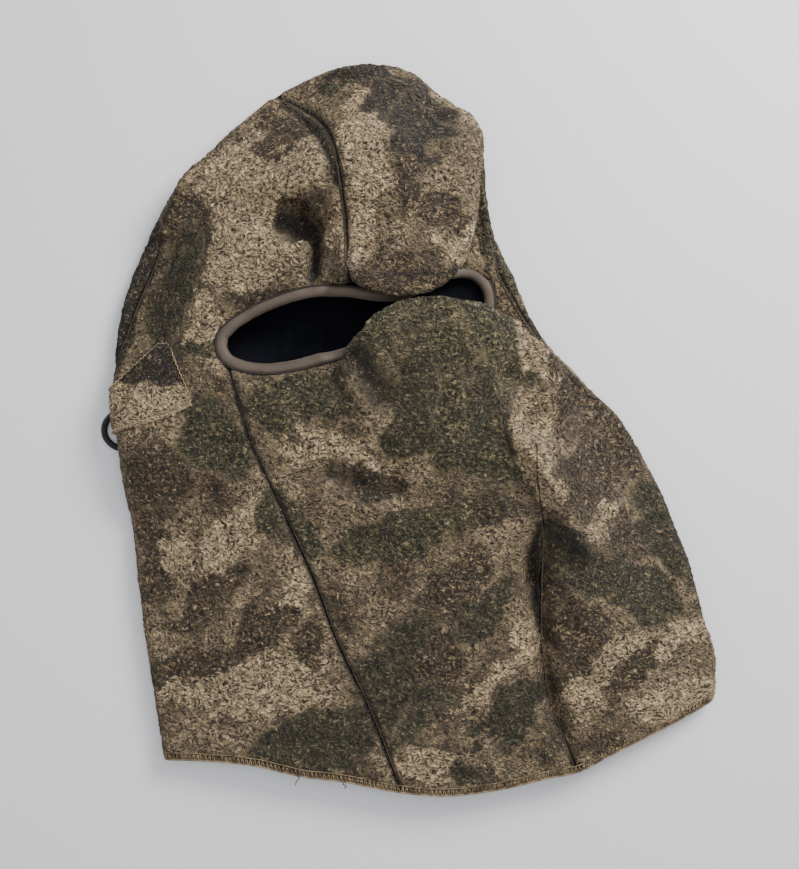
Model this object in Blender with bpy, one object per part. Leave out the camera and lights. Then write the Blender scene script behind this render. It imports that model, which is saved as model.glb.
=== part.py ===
"""A fleece balaclava with a bib, lying on its back with the face up, for Blender 4.5.

The hood is one closed skin that lies double: a top side and an underside, which meet in a
rounded fold along the left and right edges and at the crown's peak, and which are open at
the hem. Every panel is a piece of that skin, between two curves, given a thickness.

A station runs from 0 at the hem to 1 at the peak. At each one a row of points crosses the
skin from fold to fold. Plan positions are millimetres, x to the wearer's left-hand edge as
it lies (picture right), y towards the crown, with the origin under the middle of the
hood's box. Blender's units are metres.
"""

import math

import bmesh
import bpy
import numpy as np
from mathutils import Vector

MM = 0.001

# Overall size, as it lies. The outlines below are drawn for DRAWN_LENGTH and DRAWN_WIDTH.
LENGTH = 454.0
WIDTH = 378.0
DRAWN_LENGTH = 454.0
DRAWN_WIDTH = 378.0

# Cloth
FLEECE = 3.0
LINING = 1.2
PLY_GAP = 0.3
FOLD_CLEARANCE = 2.5
SEAM_SLOT = 2.3
THREAD_DIAMETER = 0.55
TOUCH = 0.3

# Binding of the eye opening
BINDING_WIDTH = 7.0
BINDING_PROUD = 0.5

# Loft, the height of the top side over its two folded edges
CROWN_ROLL = 19.0
BASE_LOFT = 14.0
CROWN_LOFT = 26.0
CHIN_LOFT = 34.0
LOFT_WIDTH = 55.0

# Hem binding of overlock thread
OVERLOCK_DEPTH = 1.0
# The thread stands off the hem by a share of the cloth, whose inner edge leans out more on a long hood
HEM_GAP = 0.27 * FLEECE * LENGTH / DRAWN_LENGTH

# Drawcord and its barrel lock, whose plunger lies along y and whose cord slot lies along x
CORD_DIAMETER = 4.0
CORD_CLEARANCE = 0.3
LOCK_PLACE = (-125.0, -3.0)
LOCK_RADIUS = 8.5
LOCK_LENGTH = 21.5
LOCK_FOOT_SHARE = 0.57
LOCK_WALL = 2.0
LOCK_END_WALL = 1.6
PLUNGER_CLEARANCE = 0.3
BUTTON_STAND_OUT = 4.5
PLUNGER_TRAVEL = 3.0
SPRING_WIRE = 0.7
SPRING_TURNS = 3
CORD_STACK_GAP = 0.6

# Side tabs that hold the cord's two ends
TAB_THICKNESS = 1.8
TAB_GAP = 1.3
TAB_MOUTH_DEPTH = 4.4

# Care label, sewn flat inside the nape
LABEL_SIZE = (26.0, 34.0)
LABEL_THICKNESS = 0.6
LABEL_PLACE = (-40.0, 30.0)

CLOTH_STACK = FLEECE + PLY_GAP + LINING
EDGE_ROLL = CLOTH_STACK + FOLD_CLEARANCE
CORD_RADIUS = CORD_DIAMETER / 2
LOCK_HEIGHT = LOCK_RADIUS + TOUCH
CORD_RISE = (CORD_DIAMETER + CORD_STACK_GAP) / 2

# Stations where the front seams meet the eye opening, where the centre seam does, and the last row
CHEEK = 0.42
BROW = 0.68
TIP = 0.985
RIM_SLOT = 1.0

# The eye opening's cut edge, from its right-hand corner over the brow and back along the cheek
EYE_RIM = [
    (48, 69), (44, 77), (33, 81), (12, 81.5), (-7, 81.5), (-23, 83), (-40, 86), (-57, 87),
    (-72, 85), (-91, 79), (-104, 73), (-115, 66), (-122, 58), (-122.5, 48), (-117, 40),
    (-106, 35.5), (-91, 34), (-72, 36.5), (-54, 41.5), (-40, 47), (-23, 52), (-6, 55.5),
    (12, 58), (30, 59.5), (43, 62),
]
# Outlines as (station, x, y)
LEFT_FOLD = [
    (0.00, -159, -206), (0.08, -165, -167), (0.17, -172, -118), (0.26, -178, -68),
    (0.34, -184, -31), (0.40, -187, -3), (0.44, -189, 20), (0.50, -189, 52), (0.56, -184, 81),
    (0.62, -173, 110), (0.68, -160, 136), (0.76, -145, 156), (0.84, -128, 174),
    (0.92, -110, 193), (1.00, -91, 210),
]
RIGHT_FOLD = [
    (0.00, 187, -168), (0.06, 188, -143), (0.13, 180, -118), (0.20, 172, -88), (0.28, 160, -56),
    (0.34, 146, -25), (0.40, 122, 13), (0.44, 101, 34), (0.48, 82, 53), (0.52, 70, 71),
    (0.56, 61, 93), (0.60, 51, 116), (0.64, 44, 146), (0.68, 41, 176), (0.74, 31, 195),
    (0.80, 14, 208), (0.85, -7, 223), (0.91, -40, 227), (0.96, -68, 220), (1.00, -91, 210),
]
FRONT_SEAM_LEFT = [
    (0.000, -10, -224), (0.077, -29, -175), (0.155, -51, -127), (0.200, -61, -99),
    (0.280, -82, -50), (0.350, -102, -6), (0.420, -115, 38),
]
FRONT_SEAM_RIGHT = [
    (0.00, 100, -214), (0.08, 84, -170), (0.15, 78, -136), (0.22, 77, -100), (0.29, 79, -60),
    (0.35, 77, -20), (0.39, 66, 22), (0.42, 46, 64),
]
CENTRE_SEAM = [
    (0.68, -40, 86), (0.74, -43, 110), (0.80, -45, 137), (0.86, -50, 165), (0.91, -58, 186),
    (0.95, -69, 199), (1.00, -91, 210),
]
# How far round the fold each back seam lies: plus is on the top side, minus on the underside
BACK_SEAM_LEFT = [
    (0.00, -55), (0.28, -50), (0.38, -32), (0.45, -8), (0.50, 7), (0.56, 13), (0.62, 14),
    (0.68, 10), (0.76, 3), (0.85, -5), (0.93, -8), (1.00, -6),
]
BACK_SEAM_RIGHT = [
    (0.00, -55), (0.28, -50), (0.36, -22), (0.42, 4), (0.47, 12), (0.52, 14), (0.57, 11),
    (0.62, 0), (0.68, -12), (0.76, -20), (0.86, -18), (0.93, -12), (1.00, -6),
]
HEM = [
    (-200, -206), (-159, -206), (-134, -206), (-103, -208), (-72, -215), (-48, -218), (-10, -225),
    (14, -227), (52, -223), (82, -216), (101, -212), (120, -202), (138, -193), (151, -187),
    (169, -178), (187, -168), (220, -150),
]
# Bumps and hollows of the top side as (height, x, y, spread in x, spread in y)
BUMPS = [
    (CHIN_LOFT, 15, 26, 82, 46), (10, 30, -70, 60, 70), (CROWN_LOFT, 2, 150, 50, 46),
    (20, -95, 112, 55, 48), (8, -118, 0, 50, 60), (-12, -60, 133, 15, 13),
    (-24, 22, 88, 42, 16), (-14, 58, 96, 18, 34),
]
# The drawcord from the left tab round through the lock, out in its pull loop and back, to the right tab
CORD_ROUTE = [
    (-169.2, 16.5, 11.4), (-158, 16.8, 11.0), (-144, 17.0, 10.6), (-130, 17.0, 10.4), (-116, 17.0, 10.4),
    (-106, 15.5, 10.6), (-98.5, 11.0, 10.8), (-96.0, 5.0, 11.0), (-98.5, -0.4, 11.1),
    (-103.5, -2.7, 11.1), (-110, -3.0, 11.1), (-125, -3.0, 11.1), (-140, -3.0, 11.1),
    (-145, -2.6, 10.9), (-152, 0.4, 9.0), (-160, 4.6, 5.6), (-168, 8.6, 3.2), (-176, 11.4, 2.3),
    (-185, 12.2, 2.2), (-193, 9.6, 2.2), (-197.6, 3.6, 2.2), (-197.6, -3.4, 2.2),
    (-193, -9.4, 2.2), (-185, -12.0, 2.2), (-176, -10.6, 2.2), (-166, -7.4, 2.6),
    (-155, -4.4, 4.4), (-146, -3.1, 6.2), (-140, -3.0, 6.5), (-125, -3.0, 6.5), (-110, -3.0, 6.5),
    (-100, -3.0, 6.0), (-86, -2.4, 4.0), (-70, 0.0, 2.6), (-50, 7.0, 2.3), (-30, 19.0, 2.3),
    (-12, 36.0, 2.6), (-1, 46.6, 3.8), (7, 53.4, 4.6),
]
# Half the outline of a side tab, as (distance from the fold, lower y, upper y) for the left one
LEFT_TAB = [
    (0, 0, 27), (8, 1, 36), (18, 2.5, 49), (28, 5, 55), (36, 7.5, 54.5), (42, 10, 44), (52, 15, 18),
]
LEFT_TAB_MOUTH = -20.0
RIGHT_TAB = {"station": 0.515, "reach": 50.0, "narrow": 22.0, "wide": 40.0}


def smooth(table, at):
    """The values of rows (knot, value, ...) at these knots, on one smooth curve through them."""
    table = np.array(table, float)
    knots, values = table[:, 0], table[:, 1:]
    slopes = np.gradient(values, knots, axis=0)
    at = np.clip(np.atleast_1d(np.asarray(at, float)), knots[0], knots[-1])
    i = np.clip(np.searchsorted(knots, at, side="right") - 1, 0, len(knots) - 2)
    step = (knots[i + 1] - knots[i])[:, None]
    t = (at - knots[i])[:, None] / step
    a, b = values[i], values[i + 1]
    from_a = (1 + 2 * t) * (1 - t) ** 2 * a + t * (1 - t) ** 2 * step * slopes[i]
    from_b = t * t * (3 - 2 * t) * b + t * t * (t - 1) * step * slopes[i + 1]
    return from_a + from_b


def plan(table, at):
    """Plan positions of an outline at these stations, stretched to the hood's size."""
    return smooth(table, at) * (WIDTH / DRAWN_WIDTH, LENGTH / DRAWN_LENGTH)


def hem_y(x):
    drawn = smooth(HEM, x * DRAWN_WIDTH / WIDTH)[:, 0]
    return drawn * LENGTH / DRAWN_LENGTH


def closed_rim():
    """The eye opening's edge as a fine closed line, with its outward normals and the length along it."""
    corners = np.array(EYE_RIM, float) * (WIDTH / DRAWN_WIDTH, LENGTH / DRAWN_LENGTH)
    corners = np.concatenate([corners[-3:], corners, corners[:4]])
    fine = smooth(np.column_stack([np.arange(len(corners)), corners]),
                  np.linspace(3, len(EYE_RIM) + 3, 600, endpoint=False))
    steps = np.roll(fine, -1, axis=0) - np.roll(fine, 1, axis=0)
    steps /= np.linalg.norm(steps, axis=1)[:, None]
    lengths = np.linalg.norm(np.roll(fine, -1, axis=0) - fine, axis=1)
    return fine, np.column_stack([steps[:, 1], -steps[:, 0]]), np.concatenate([[0], np.cumsum(lengths)])


def rim(along, grow=0.0):
    """Plan positions at lengths along the eye opening's edge, moved outwards by grow."""
    line, normals, lengths = RIM
    along = np.mod(np.atleast_1d(np.asarray(along, float)), lengths[-1])
    moved = line + grow * normals
    moved = np.concatenate([moved, moved[:1]])
    return np.column_stack([np.interp(along, lengths, moved[:, k]) for k in range(2)])


def rim_length_at(point):
    line, _, lengths = RIM
    return lengths[np.argmin(np.linalg.norm(line - point, axis=1))]


def outline():
    """The folded edges as one closed line, carried on past the hem, where the skin is open."""
    steps = np.linspace(0, 1, 70)
    left, right = plan(LEFT_FOLD, steps), plan(RIGHT_FOLD, steps)
    below = np.array([0, -120.0])
    return np.concatenate([[left[0] + below], left, right[::-1], [right[0] + below]])


RIM = closed_rim()
OUTLINE = outline()


def fold_distance(p):
    """How far inside the folded edges each plan position lies; minus outside."""
    a, b = OUTLINE, np.roll(OUTLINE, -1, axis=0)
    along = b - a
    best, side = np.full(len(p), 1e9), np.ones(len(p))
    for start, edge in list(zip(a, along))[:-1]:
        share = np.clip((p - start) @ edge / max(edge @ edge, 1e-9), 0, 1)
        off = p - start - share[:, None] * edge
        far = np.hypot(off[:, 0], off[:, 1])
        nearer = far < best
        best[nearer] = far[nearer]
        turn = edge[0] * off[:, 1] - edge[1] * off[:, 0]
        side[nearer] = np.where(turn[nearer] > 0, -1.0, 1.0)
    return best * side


def ease(t):
    t = np.clip(t, 0, 1)
    return t * t * (3 - 2 * t)


def roll(p):
    """The radius of the folded edge: tight along the sides, full at the crown, tight at its peak."""
    peak = plan(LEFT_FOLD, 1.0)[0]
    from_peak = np.hypot(*(p - peak).T)
    crown = ease((p[:, 1] * DRAWN_LENGTH / LENGTH - 105) / 75) * ease((from_peak - 8) / 60)
    return EDGE_ROLL + (CROWN_ROLL - EDGE_ROLL) * crown


def near_line(p, points, flat, fade):
    """1 within flat of a line of points, falling smoothly to 0 over fade more."""
    points = np.array(points, float)
    best = np.full(len(p), 1e9)
    for start, end in zip(points[:-1], points[1:]):
        edge = end - start
        share = np.clip((p - start) @ edge / max(edge @ edge, 1e-9), 0, 1)
        off = p - start - share[:, None] * edge
        best = np.minimum(best, np.hypot(off[:, 0], off[:, 1]))
    return ease((flat + fade - best) / fade)


def under_lift(p):
    """How far the underside is held off the ground by the cord, its lock and the tabs under it."""
    cord = np.array(CORD_ROUTE)[:, :2]
    over_cord = (CORD_DIAMETER + 3.4) * near_line(p, cord[::2], 15, 34)
    x, y = LOCK_PLACE
    over_lock = (2 * LOCK_RADIUS + 2.6) * near_line(p, [(x + 8, y + 3), (x - 10, y + 3)], 22, 52)
    tab_x, tab_y = right_tab_middle()
    over_tab = (TAB_MOUTH_DEPTH + 1.6) * near_line(p, [(tab_x - 8, tab_y - 4), (tab_x + 24, tab_y)], 30, 30)
    return (over_cord ** 4 + over_lock ** 4 + over_tab ** 4) ** 0.25


def right_tab_middle():
    fold = plan(RIGHT_FOLD, RIGHT_TAB["station"])[0]
    return fold[0] - RIGHT_TAB["reach"] / 2 - 6, fold[1] - 8


def loft(p):
    """Height of the top side over its folded edge, before it fades out towards that edge."""
    x, y = p[:, 0] * DRAWN_WIDTH / WIDTH, p[:, 1] * DRAWN_LENGTH / LENGTH
    height = np.full(len(p), BASE_LOFT)
    for tall, at_x, at_y, wide, long in BUMPS:
        height = height + tall * np.exp(-((x - at_x) / wide) ** 2 / 2 - ((y - at_y) / long) ** 2 / 2)
    from_hem = ease((p[:, 1] - hem_y(p[:, 0])) / 130)
    return height * (0.42 + 0.58 * from_hem)


def smooth_top(p):
    """Height of the top side without the round of its folded edge."""
    inside = ease((fold_distance(p) - 3) / LOFT_WIDTH)
    return under_lift(p) * (1 - inside) + roll(p) + loft(p) * inside


def gradient(field, p, step=0.4):
    dx, dy = np.array([step, 0]), np.array([0, step])
    return np.stack([field(p + dx) - field(p - dx), field(p + dy) - field(p - dy)], axis=1) / (2 * step)


def skin(p, top):
    """Points on the hood's outer surface over these plan positions, and the surface's outward normals."""
    r = roll(p)
    inward = np.clip(fold_distance(p), 0, r)
    across = 1 - inward / r
    arc = np.sqrt(np.clip(1 - across ** 2, 0, 1))
    fold_slope = gradient(fold_distance, p)
    top_slope, low_slope = gradient(smooth_top, p), gradient(under_lift, p)
    low = under_lift(p)
    z = np.where(top, smooth_top(p) + r * arc, low + r * (1 - arc))
    slope = np.where(top[:, None], -top_slope, low_slope)
    flat = -across[:, None] * fold_slope + arc[:, None] * slope
    normal = np.column_stack([flat, np.where(top, arc, -arc)])
    normal /= np.linalg.norm(normal, axis=1)[:, None]
    return np.column_stack([p, z]), normal


def spaced(start, end, count, folds, crowd=26.0, width=9.0):
    """count values from start to end, closer together near the values in folds."""
    fine = np.linspace(start, end, 400)
    weight = fine + sum(crowd * np.tanh((fine - fold) / width) for fold in folds)
    return np.interp(np.linspace(weight[0], weight[-1], count), weight, fine)


STATIONS = np.concatenate([
    np.linspace(0, 0.32, 7), np.linspace(0.32, CHEEK, 6)[1:], np.linspace(CHEEK, 0.5, 5)[1:],
    np.linspace(0.5, BROW, 6)[1:], np.linspace(BROW, TIP, 8)[1:],
])
SIDE_COLUMNS, FRONT_COLUMNS, BACK_COLUMNS = 11, 9, 20
HALF_SLOT = SEAM_SLOT / 2


def beside(table, station, gap):
    """A plan position beside a seam: plus gap lies to its right, minus to its left."""
    ends = plan(table, [station - 0.01, station + 0.01])
    way = (ends[1] - ends[0]) / np.linalg.norm(ends[1] - ends[0])
    return plan(table, station)[0] + gap * np.array([way[1], -way[0]])


def rim_ends():
    """Lengths along the eye opening's edge at the left cheek, the right cheek and the brow."""
    ends = (plan(table, at)[0] for table, at in (
        (FRONT_SEAM_LEFT, CHEEK), (FRONT_SEAM_RIGHT, CHEEK), (CENTRE_SEAM, BROW)))
    return [rim_length_at(end) for end in ends]


def side_rim(share, left):
    """Length along the eye opening's edge, from the cheek (0) to the brow (1), on one side of the face."""
    cheek_left, cheek_right, brow = rim_ends()
    if left:
        start, end = cheek_left - HALF_SLOT, brow + HALF_SLOT
    else:
        start, end = cheek_right + HALF_SLOT - RIM[2][-1], brow - HALF_SLOT
        # The eye's right-hand corner is near the fold, so the rows linger there.
        share = share ** 1.6
    return start + (end - start) * share


def inner_edge(station, left):
    """Where a side panel ends: at its front seam, then round the eye opening, then at the centre seam."""
    gap = -HALF_SLOT if left else HALF_SLOT
    if station < CHEEK - 1e-6:
        return beside(FRONT_SEAM_LEFT if left else FRONT_SEAM_RIGHT, station, gap)
    if station > BROW + 1e-6:
        return beside(CENTRE_SEAM, station, gap)
    return rim(side_rim((station - CHEEK) / (BROW - CHEEK), left), RIM_SLOT)[0]


def folds(station, left):
    """The fold point of this side, and of the other side."""
    here, there = plan(LEFT_FOLD, station)[0], plan(RIGHT_FOLD, station)[0]
    return (here, there) if left else (there, here)


def row_places(station, left, ell):
    """Plan positions and sides at distances ell over the surface from a fold: plus on the top side."""
    fold, far = folds(station, left)
    fold_at_hem, far_at_hem = folds(0.0, left)
    over = ell >= 0
    r = roll(fold[None])[0]
    turned = np.minimum(np.abs(ell) / r, math.pi / 2)
    inward = r * (1 - np.cos(turned)) + np.abs(ell) - r * turned
    end = np.where(over[:, None], inner_edge(station, left), far)
    end_at_hem = np.where(over[:, None], inner_edge(0.0, left), far_at_hem)
    share = (inward / np.linalg.norm(end - fold, axis=1))[:, None]
    p = fold + share * (end - fold)
    # Near the hem the rows bend to follow it.
    chord = fold_at_hem + share * (end_at_hem - fold_at_hem)
    p[:, 1] += max(1 - station / 0.3, 0) ** 2 * (hem_y(chord[:, 0]) - chord[:, 1])
    return p, over


def back_seam(station, left):
    """Where a back seam lies, as a distance from the fold, and half its slot measured along the row."""
    table = BACK_SEAM_LEFT if left else BACK_SEAM_RIGHT
    ell = smooth(table, station)[0]

    def at(row, distance):
        return skin(*row_places(min(max(row, 0.0), 1.0), left, distance))[0][0]

    row_way = at(station, ell + 0.5) - at(station, ell - 0.5)
    before, after = max(station - 0.01, 0.0), min(station + 0.01, 1.0)
    seam_way = at(after, smooth(table, after)[0]) - at(before, smooth(table, before)[0])
    cross = np.linalg.norm(np.cross(row_way, seam_way)) / np.linalg.norm(row_way) / np.linalg.norm(seam_way)
    return ell[0], HALF_SLOT / max(cross, 0.4)


def side_row(station, left):
    """One row across a side panel, from its back seam to its inner edge."""
    fold, _ = folds(station, left)
    r = roll(fold[None])[0]
    start = sum(back_seam(station, left))
    end = np.linalg.norm(inner_edge(station, left) - fold) + r * (math.pi / 2 - 1)
    return row_places(station, left, spaced(start, end, SIDE_COLUMNS, [0]))


def back_row(station):
    """One row across the back panel, from the left back seam under the hood to the right one."""
    left, right = folds(station, True)
    corner = (math.pi / 2 - 1) * (roll(left[None])[0] + roll(right[None])[0])
    total = np.linalg.norm(right - left) + corner
    seam_left, slot_left = back_seam(station, True)
    seam_right, slot_right = back_seam(station, False)
    start, end = slot_left - seam_left, total + seam_right - slot_right
    along = spaced(start, end, BACK_COLUMNS, [0, total])
    near_left = along < total / 2
    from_left, over_left = row_places(station, True, -along)
    from_right, over_right = row_places(station, False, along - total)
    return np.where(near_left[:, None], from_left, from_right), np.where(near_left, over_left, over_right)


def front_rows():
    """The front panel: a patch between the two front seams, the hem and the eye opening's lower edge."""
    stations = STATIONS[STATIONS <= CHEEK + 1e-6]
    left = np.array([beside(FRONT_SEAM_LEFT, s, HALF_SLOT) for s in stations])
    right = np.array([beside(FRONT_SEAM_RIGHT, s, -HALF_SLOT) for s in stations])
    across = np.linspace(0, 1, FRONT_COLUMNS)
    cheek_left, cheek_right, _ = rim_ends()
    start, end = cheek_left + HALF_SLOT, cheek_right - HALF_SLOT
    upper = rim(start + across * (end - start), RIM_SLOT)
    left[-1], right[-1] = upper[0], upper[-1]
    hem_x = left[0, 0] + across * (right[0, 0] - left[0, 0])
    lower = np.column_stack([hem_x, hem_y(hem_x)])
    left[0], right[0] = lower[0], lower[-1]
    rows = []
    for i, station in enumerate(stations):
        up = station / CHEEK
        u = across[:, None]
        ruled = (1 - u) * left[i] + u * right[i] + (1 - up) * lower + up * upper
        corners = (1 - up) * ((1 - u) * lower[0] + u * lower[-1]) + up * ((1 - u) * upper[0] + u * upper[-1])
        rows.append((ruled - corners, np.ones(len(across), bool)))
    return rows


def material(name, colour, roughness, metallic=0.0):
    made = bpy.data.materials.new(name)
    made.use_nodes = True
    shader = made.node_tree.nodes["Principled BSDF"]
    shader.inputs["Base Color"].default_value = (*colour, 1)
    shader.inputs["Roughness"].default_value = roughness
    shader.inputs["Metallic"].default_value = metallic
    return made


def add_object(name, data, look):
    made = bpy.data.objects.new(name, data)
    bpy.context.scene.collection.objects.link(made)
    data.materials.append(look)
    return made


def slab(name, rows, outer, inner, look):
    """A closed body between two depths below the hood's outer surface, over a grid of rows."""
    placed = [skin(p, top) for p, top in rows]
    bm = bmesh.new()
    layers = [[[bm.verts.new(MM * (point - depth * normal)) for point, normal in zip(*row)]
               for row in placed] for depth in (outer, inner)]
    high, low = layers
    last_row, last = len(rows) - 1, len(rows[0][0]) - 1
    for i in range(last_row):
        for j in range(last):
            bm.faces.new((high[i][j], high[i][j + 1], high[i + 1][j + 1], high[i + 1][j]))
            bm.faces.new((low[i][j], low[i + 1][j], low[i + 1][j + 1], low[i][j + 1]))
        bm.faces.new((high[i][0], high[i + 1][0], low[i + 1][0], low[i][0]))
        bm.faces.new((high[i][last], low[i][last], low[i + 1][last], high[i + 1][last]))
    for j in range(last):
        bm.faces.new((high[0][j], low[0][j], low[0][j + 1], high[0][j + 1]))
        bm.faces.new((high[last_row][j], high[last_row][j + 1], low[last_row][j + 1], low[last_row][j]))
    bmesh.ops.recalc_face_normals(bm, faces=bm.faces)
    return finish_mesh(name, bm, look)


def finish_mesh(name, bm, look, smooth_angle=40):
    data = bpy.data.meshes.new(name)
    bm.to_mesh(data)
    bm.free()
    data.shade_smooth()
    data.set_sharp_from_angle(angle=math.radians(smooth_angle))
    return add_object(name, data, look)


def panels():
    """Outer fleece and inner lining, each of four panels."""
    fleece = material("camouflage_fleece", (0.20, 0.16, 0.10), 1.0)
    lining = material("black_lining", (0.01, 0.01, 0.014), 0.9)
    shapes = {
        "side_left": [side_row(s, True) for s in STATIONS],
        "side_right": [side_row(s, False) for s in STATIONS],
        "front": front_rows(),
        "back": [back_row(s) for s in STATIONS],
    }
    for name, rows in shapes.items():
        slab("fleece_" + name, rows, 0, FLEECE, fleece)
        slab("lining_" + name, rows, FLEECE + PLY_GAP, CLOTH_STACK, lining)


def tube(name, points, diameter, look, resolution=1):
    data = bpy.data.curves.new(name, "CURVE")
    data.dimensions = "3D"
    data.bevel_depth = MM * diameter / 2
    data.bevel_resolution = resolution
    data.use_fill_caps = True
    spline = data.splines.new("POLY")
    spline.points.add(len(points) - 1)
    for target, point in zip(spline.points, points):
        target.co = (*(MM * np.array(point)), 1)
    return add_object(name, data, look)


def seam_thread(name, lips, look):
    """A line of stitches between two panels, just under their surface. Lips are the two panels' edges."""
    sides = []
    for places in lips:
        p = np.array([place for place, _ in places])
        if p[0, 1] < hem_y(p[:1, 0])[0] + 20:
            p[0, 1] = hem_y(p[:1, 0])[0] + 1
        points, normals = skin(p, np.array([side for _, side in places]))
        sides.append(points - normals * THREAD_DIAMETER * 0.6)
    return tube(name, (sides[0] + sides[1]) / 2, THREAD_DIAMETER, look)


def seams():
    look = material("seam_thread", (0.08, 0.065, 0.045), 0.8)
    lower = STATIONS[STATIONS < CHEEK - 0.01]
    upper = STATIONS[STATIONS > BROW + 0.01]
    tables = (("front_left", FRONT_SEAM_LEFT, lower), ("front_right", FRONT_SEAM_RIGHT, lower),
              ("centre", CENTRE_SEAM, upper))
    for name, table, stations in tables:
        lips = [[(beside(table, s, gap), True) for s in stations] for gap in (-HALF_SLOT, HALF_SLOT)]
        seam_thread("seam_thread_" + name, lips, look)
    for name, left in (("back_left", True), ("back_right", False)):
        sides = [side_row(s, left) for s in STATIONS[:-1]]
        backs = [back_row(s) for s in STATIONS[:-1]]
        last = 0 if left else -1
        lips = [[(p[0], top[0]) for p, top in sides], [(p[last], top[last]) for p, top in backs]]
        seam_thread("seam_thread_" + name, lips, look)


def ring(name, sections, look):
    """A closed band through sections that each list the same number of corners."""
    bm = bmesh.new()
    rings = [[bm.verts.new(MM * np.array(corner)) for corner in section] for section in sections]
    for here, after in zip(rings, rings[1:] + rings[:1]):
        for k in range(len(here)):
            n = (k + 1) % len(here)
            bm.faces.new((here[k], here[n], after[n], after[k]))
    bmesh.ops.recalc_face_normals(bm, faces=bm.faces)
    return finish_mesh(name, bm, look)


def eye_binding():
    """Folded tape round the eye opening, in the plane of the cloth and a little proud of it."""
    look = material("taupe_binding", (0.20, 0.15, 0.11), 0.7)
    shares = (STATIONS[(STATIONS >= CHEEK - 1e-6) & (STATIONS <= BROW + 1e-6)] - CHEEK) / (BROW - CHEEK)
    cheek_left, cheek_right, _ = rim_ends()
    start, end = cheek_left + HALF_SLOT, cheek_right - HALF_SLOT
    along = np.concatenate([
        side_rim(shares, False), side_rim(shares, True)[::-1], np.linspace(start, end, FRONT_COLUMNS)])
    points, normals = skin(rim(along), np.ones(len(along), bool))
    inner = rim(along, -BINDING_WIDTH)
    sections = []
    for point, normal, inside in zip(points, normals, inner):
        inward = np.append(inside - point[:2], 0)
        inward -= (inward @ normal) * normal
        inward *= BINDING_WIDTH / np.linalg.norm(inward)
        top, foot = normal * BINDING_PROUD, -normal * (CLOTH_STACK + BINDING_PROUD)
        bevel = normal * BINDING_PROUD * 1.2
        sections.append([point + top, point + inward + top - bevel,
                         point + inward + foot + bevel, point + 0.35 * inward + foot])
    return ring("eye_binding", sections, look)


def hem_overlock():
    """Overlock thread over the hem's cut edges, all the way round: top side, folds and underside."""
    look = material("overlock_thread", (0.10, 0.085, 0.06), 0.85)
    left, front, right, back = side_row(0.0, True), front_rows()[0], side_row(0.0, False), back_row(0.0)
    p = np.concatenate([left[0], front[0], right[0][::-1], back[0][::-1]])
    top = np.concatenate([left[1], front[1], right[1][::-1], back[1][::-1]])
    points, normals = skin(p, top)
    away = np.array([0, -1, 0])
    sections = []
    for point, normal in zip(points, normals):
        near, far = point + away * HEM_GAP, point + away * (HEM_GAP + OVERLOCK_DEPTH)
        sections.append([near, far, far - normal * CLOTH_STACK, near - normal * CLOTH_STACK])
    return ring("hem_overlock", sections, look)


def tab_body(name, rows, mouth, look):
    """A patch on the outside of the hood. Its rows run from the cord's mouth, where it is thick."""
    placed = [skin(p, top) for p, top in rows]
    bm = bmesh.new()
    under, over = [], []
    for i, (points, normals) in enumerate(placed):
        depth = mouth if i == 0 else TAB_THICKNESS
        under.append([bm.verts.new(MM * (q + TAB_GAP * n)) for q, n in zip(points, normals)])
        over.append([bm.verts.new(MM * (q + (TAB_GAP + depth) * n)) for q, n in zip(points, normals)])
    last_row, last = len(rows) - 1, len(rows[0][0]) - 1
    for layer in (under, over):
        for i in range(last_row):
            for j in range(last):
                bm.faces.new((layer[i][j], layer[i][j + 1], layer[i + 1][j + 1], layer[i + 1][j]))
    edge = [(0, j) for j in range(last)] + [(i, last) for i in range(last_row)]
    edge += [(last_row, j) for j in range(last, 0, -1)] + [(i, 0) for i in range(last_row, 0, -1)]
    for (i, j), (k, m) in zip(edge, edge[1:] + edge[:1]):
        bm.faces.new((under[i][j], under[k][m], over[k][m], over[i][j]))
    bmesh.ops.recalc_face_normals(bm, faces=bm.faces)
    return finish_mesh(name, bm, look)


def left_tab_rows():
    """From the mouth on the underside, round the left fold, and out to the point near the eye opening."""
    rows = []
    table = [(d, low, high) for d, low, high in LEFT_TAB]
    fold_y = LEFT_TAB[0][1:]
    for ell in [LEFT_TAB_MOUTH, LEFT_TAB_MOUTH / 2, -5.5, 0, 5.5, 11]:
        rows.append((ell, *fold_y) if ell <= 0 else (ell, *smooth(table, max(ell - 4, 0))[0]))
    rows += [(d + 4, low, high) for d, low, high in LEFT_TAB[2:]]
    made = []
    for ell, low, high in rows:
        y = np.linspace(low, high, 5)
        fold = np.column_stack([np.interp(y, *left_edge_by_y()), y])
        inward = EDGE_ROLL * (1 - math.cos(min(abs(ell) / EDGE_ROLL, math.pi / 2))) + max(
            abs(ell) - EDGE_ROLL * math.pi / 2, 0)
        made.append((fold + (inward, 0), np.full(5, ell >= 0)))
    return made


def left_edge_by_y():
    line = plan(LEFT_FOLD, np.linspace(0.2, 0.7, 60))
    return line[:, 1], line[:, 0]


def right_tab_rows():
    """The same tab on the other side of the head, which lies against the ground."""
    fold = plan(RIGHT_FOLD, RIGHT_TAB["station"])[0]
    rows = []
    for far, wide in ((RIGHT_TAB["reach"] + 12, RIGHT_TAB["narrow"]), (RIGHT_TAB["reach"], RIGHT_TAB["narrow"]),
                      (34, RIGHT_TAB["wide"]), (22, RIGHT_TAB["wide"]), (12, RIGHT_TAB["narrow"] * 0.5)):
        y = fold[1] - 10 + np.linspace(-wide / 2, wide / 2, 5)
        x = fold[0] - far + 0 * y
        rows.append((np.column_stack([x, y]), np.zeros(5, bool)))
    return rows


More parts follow.
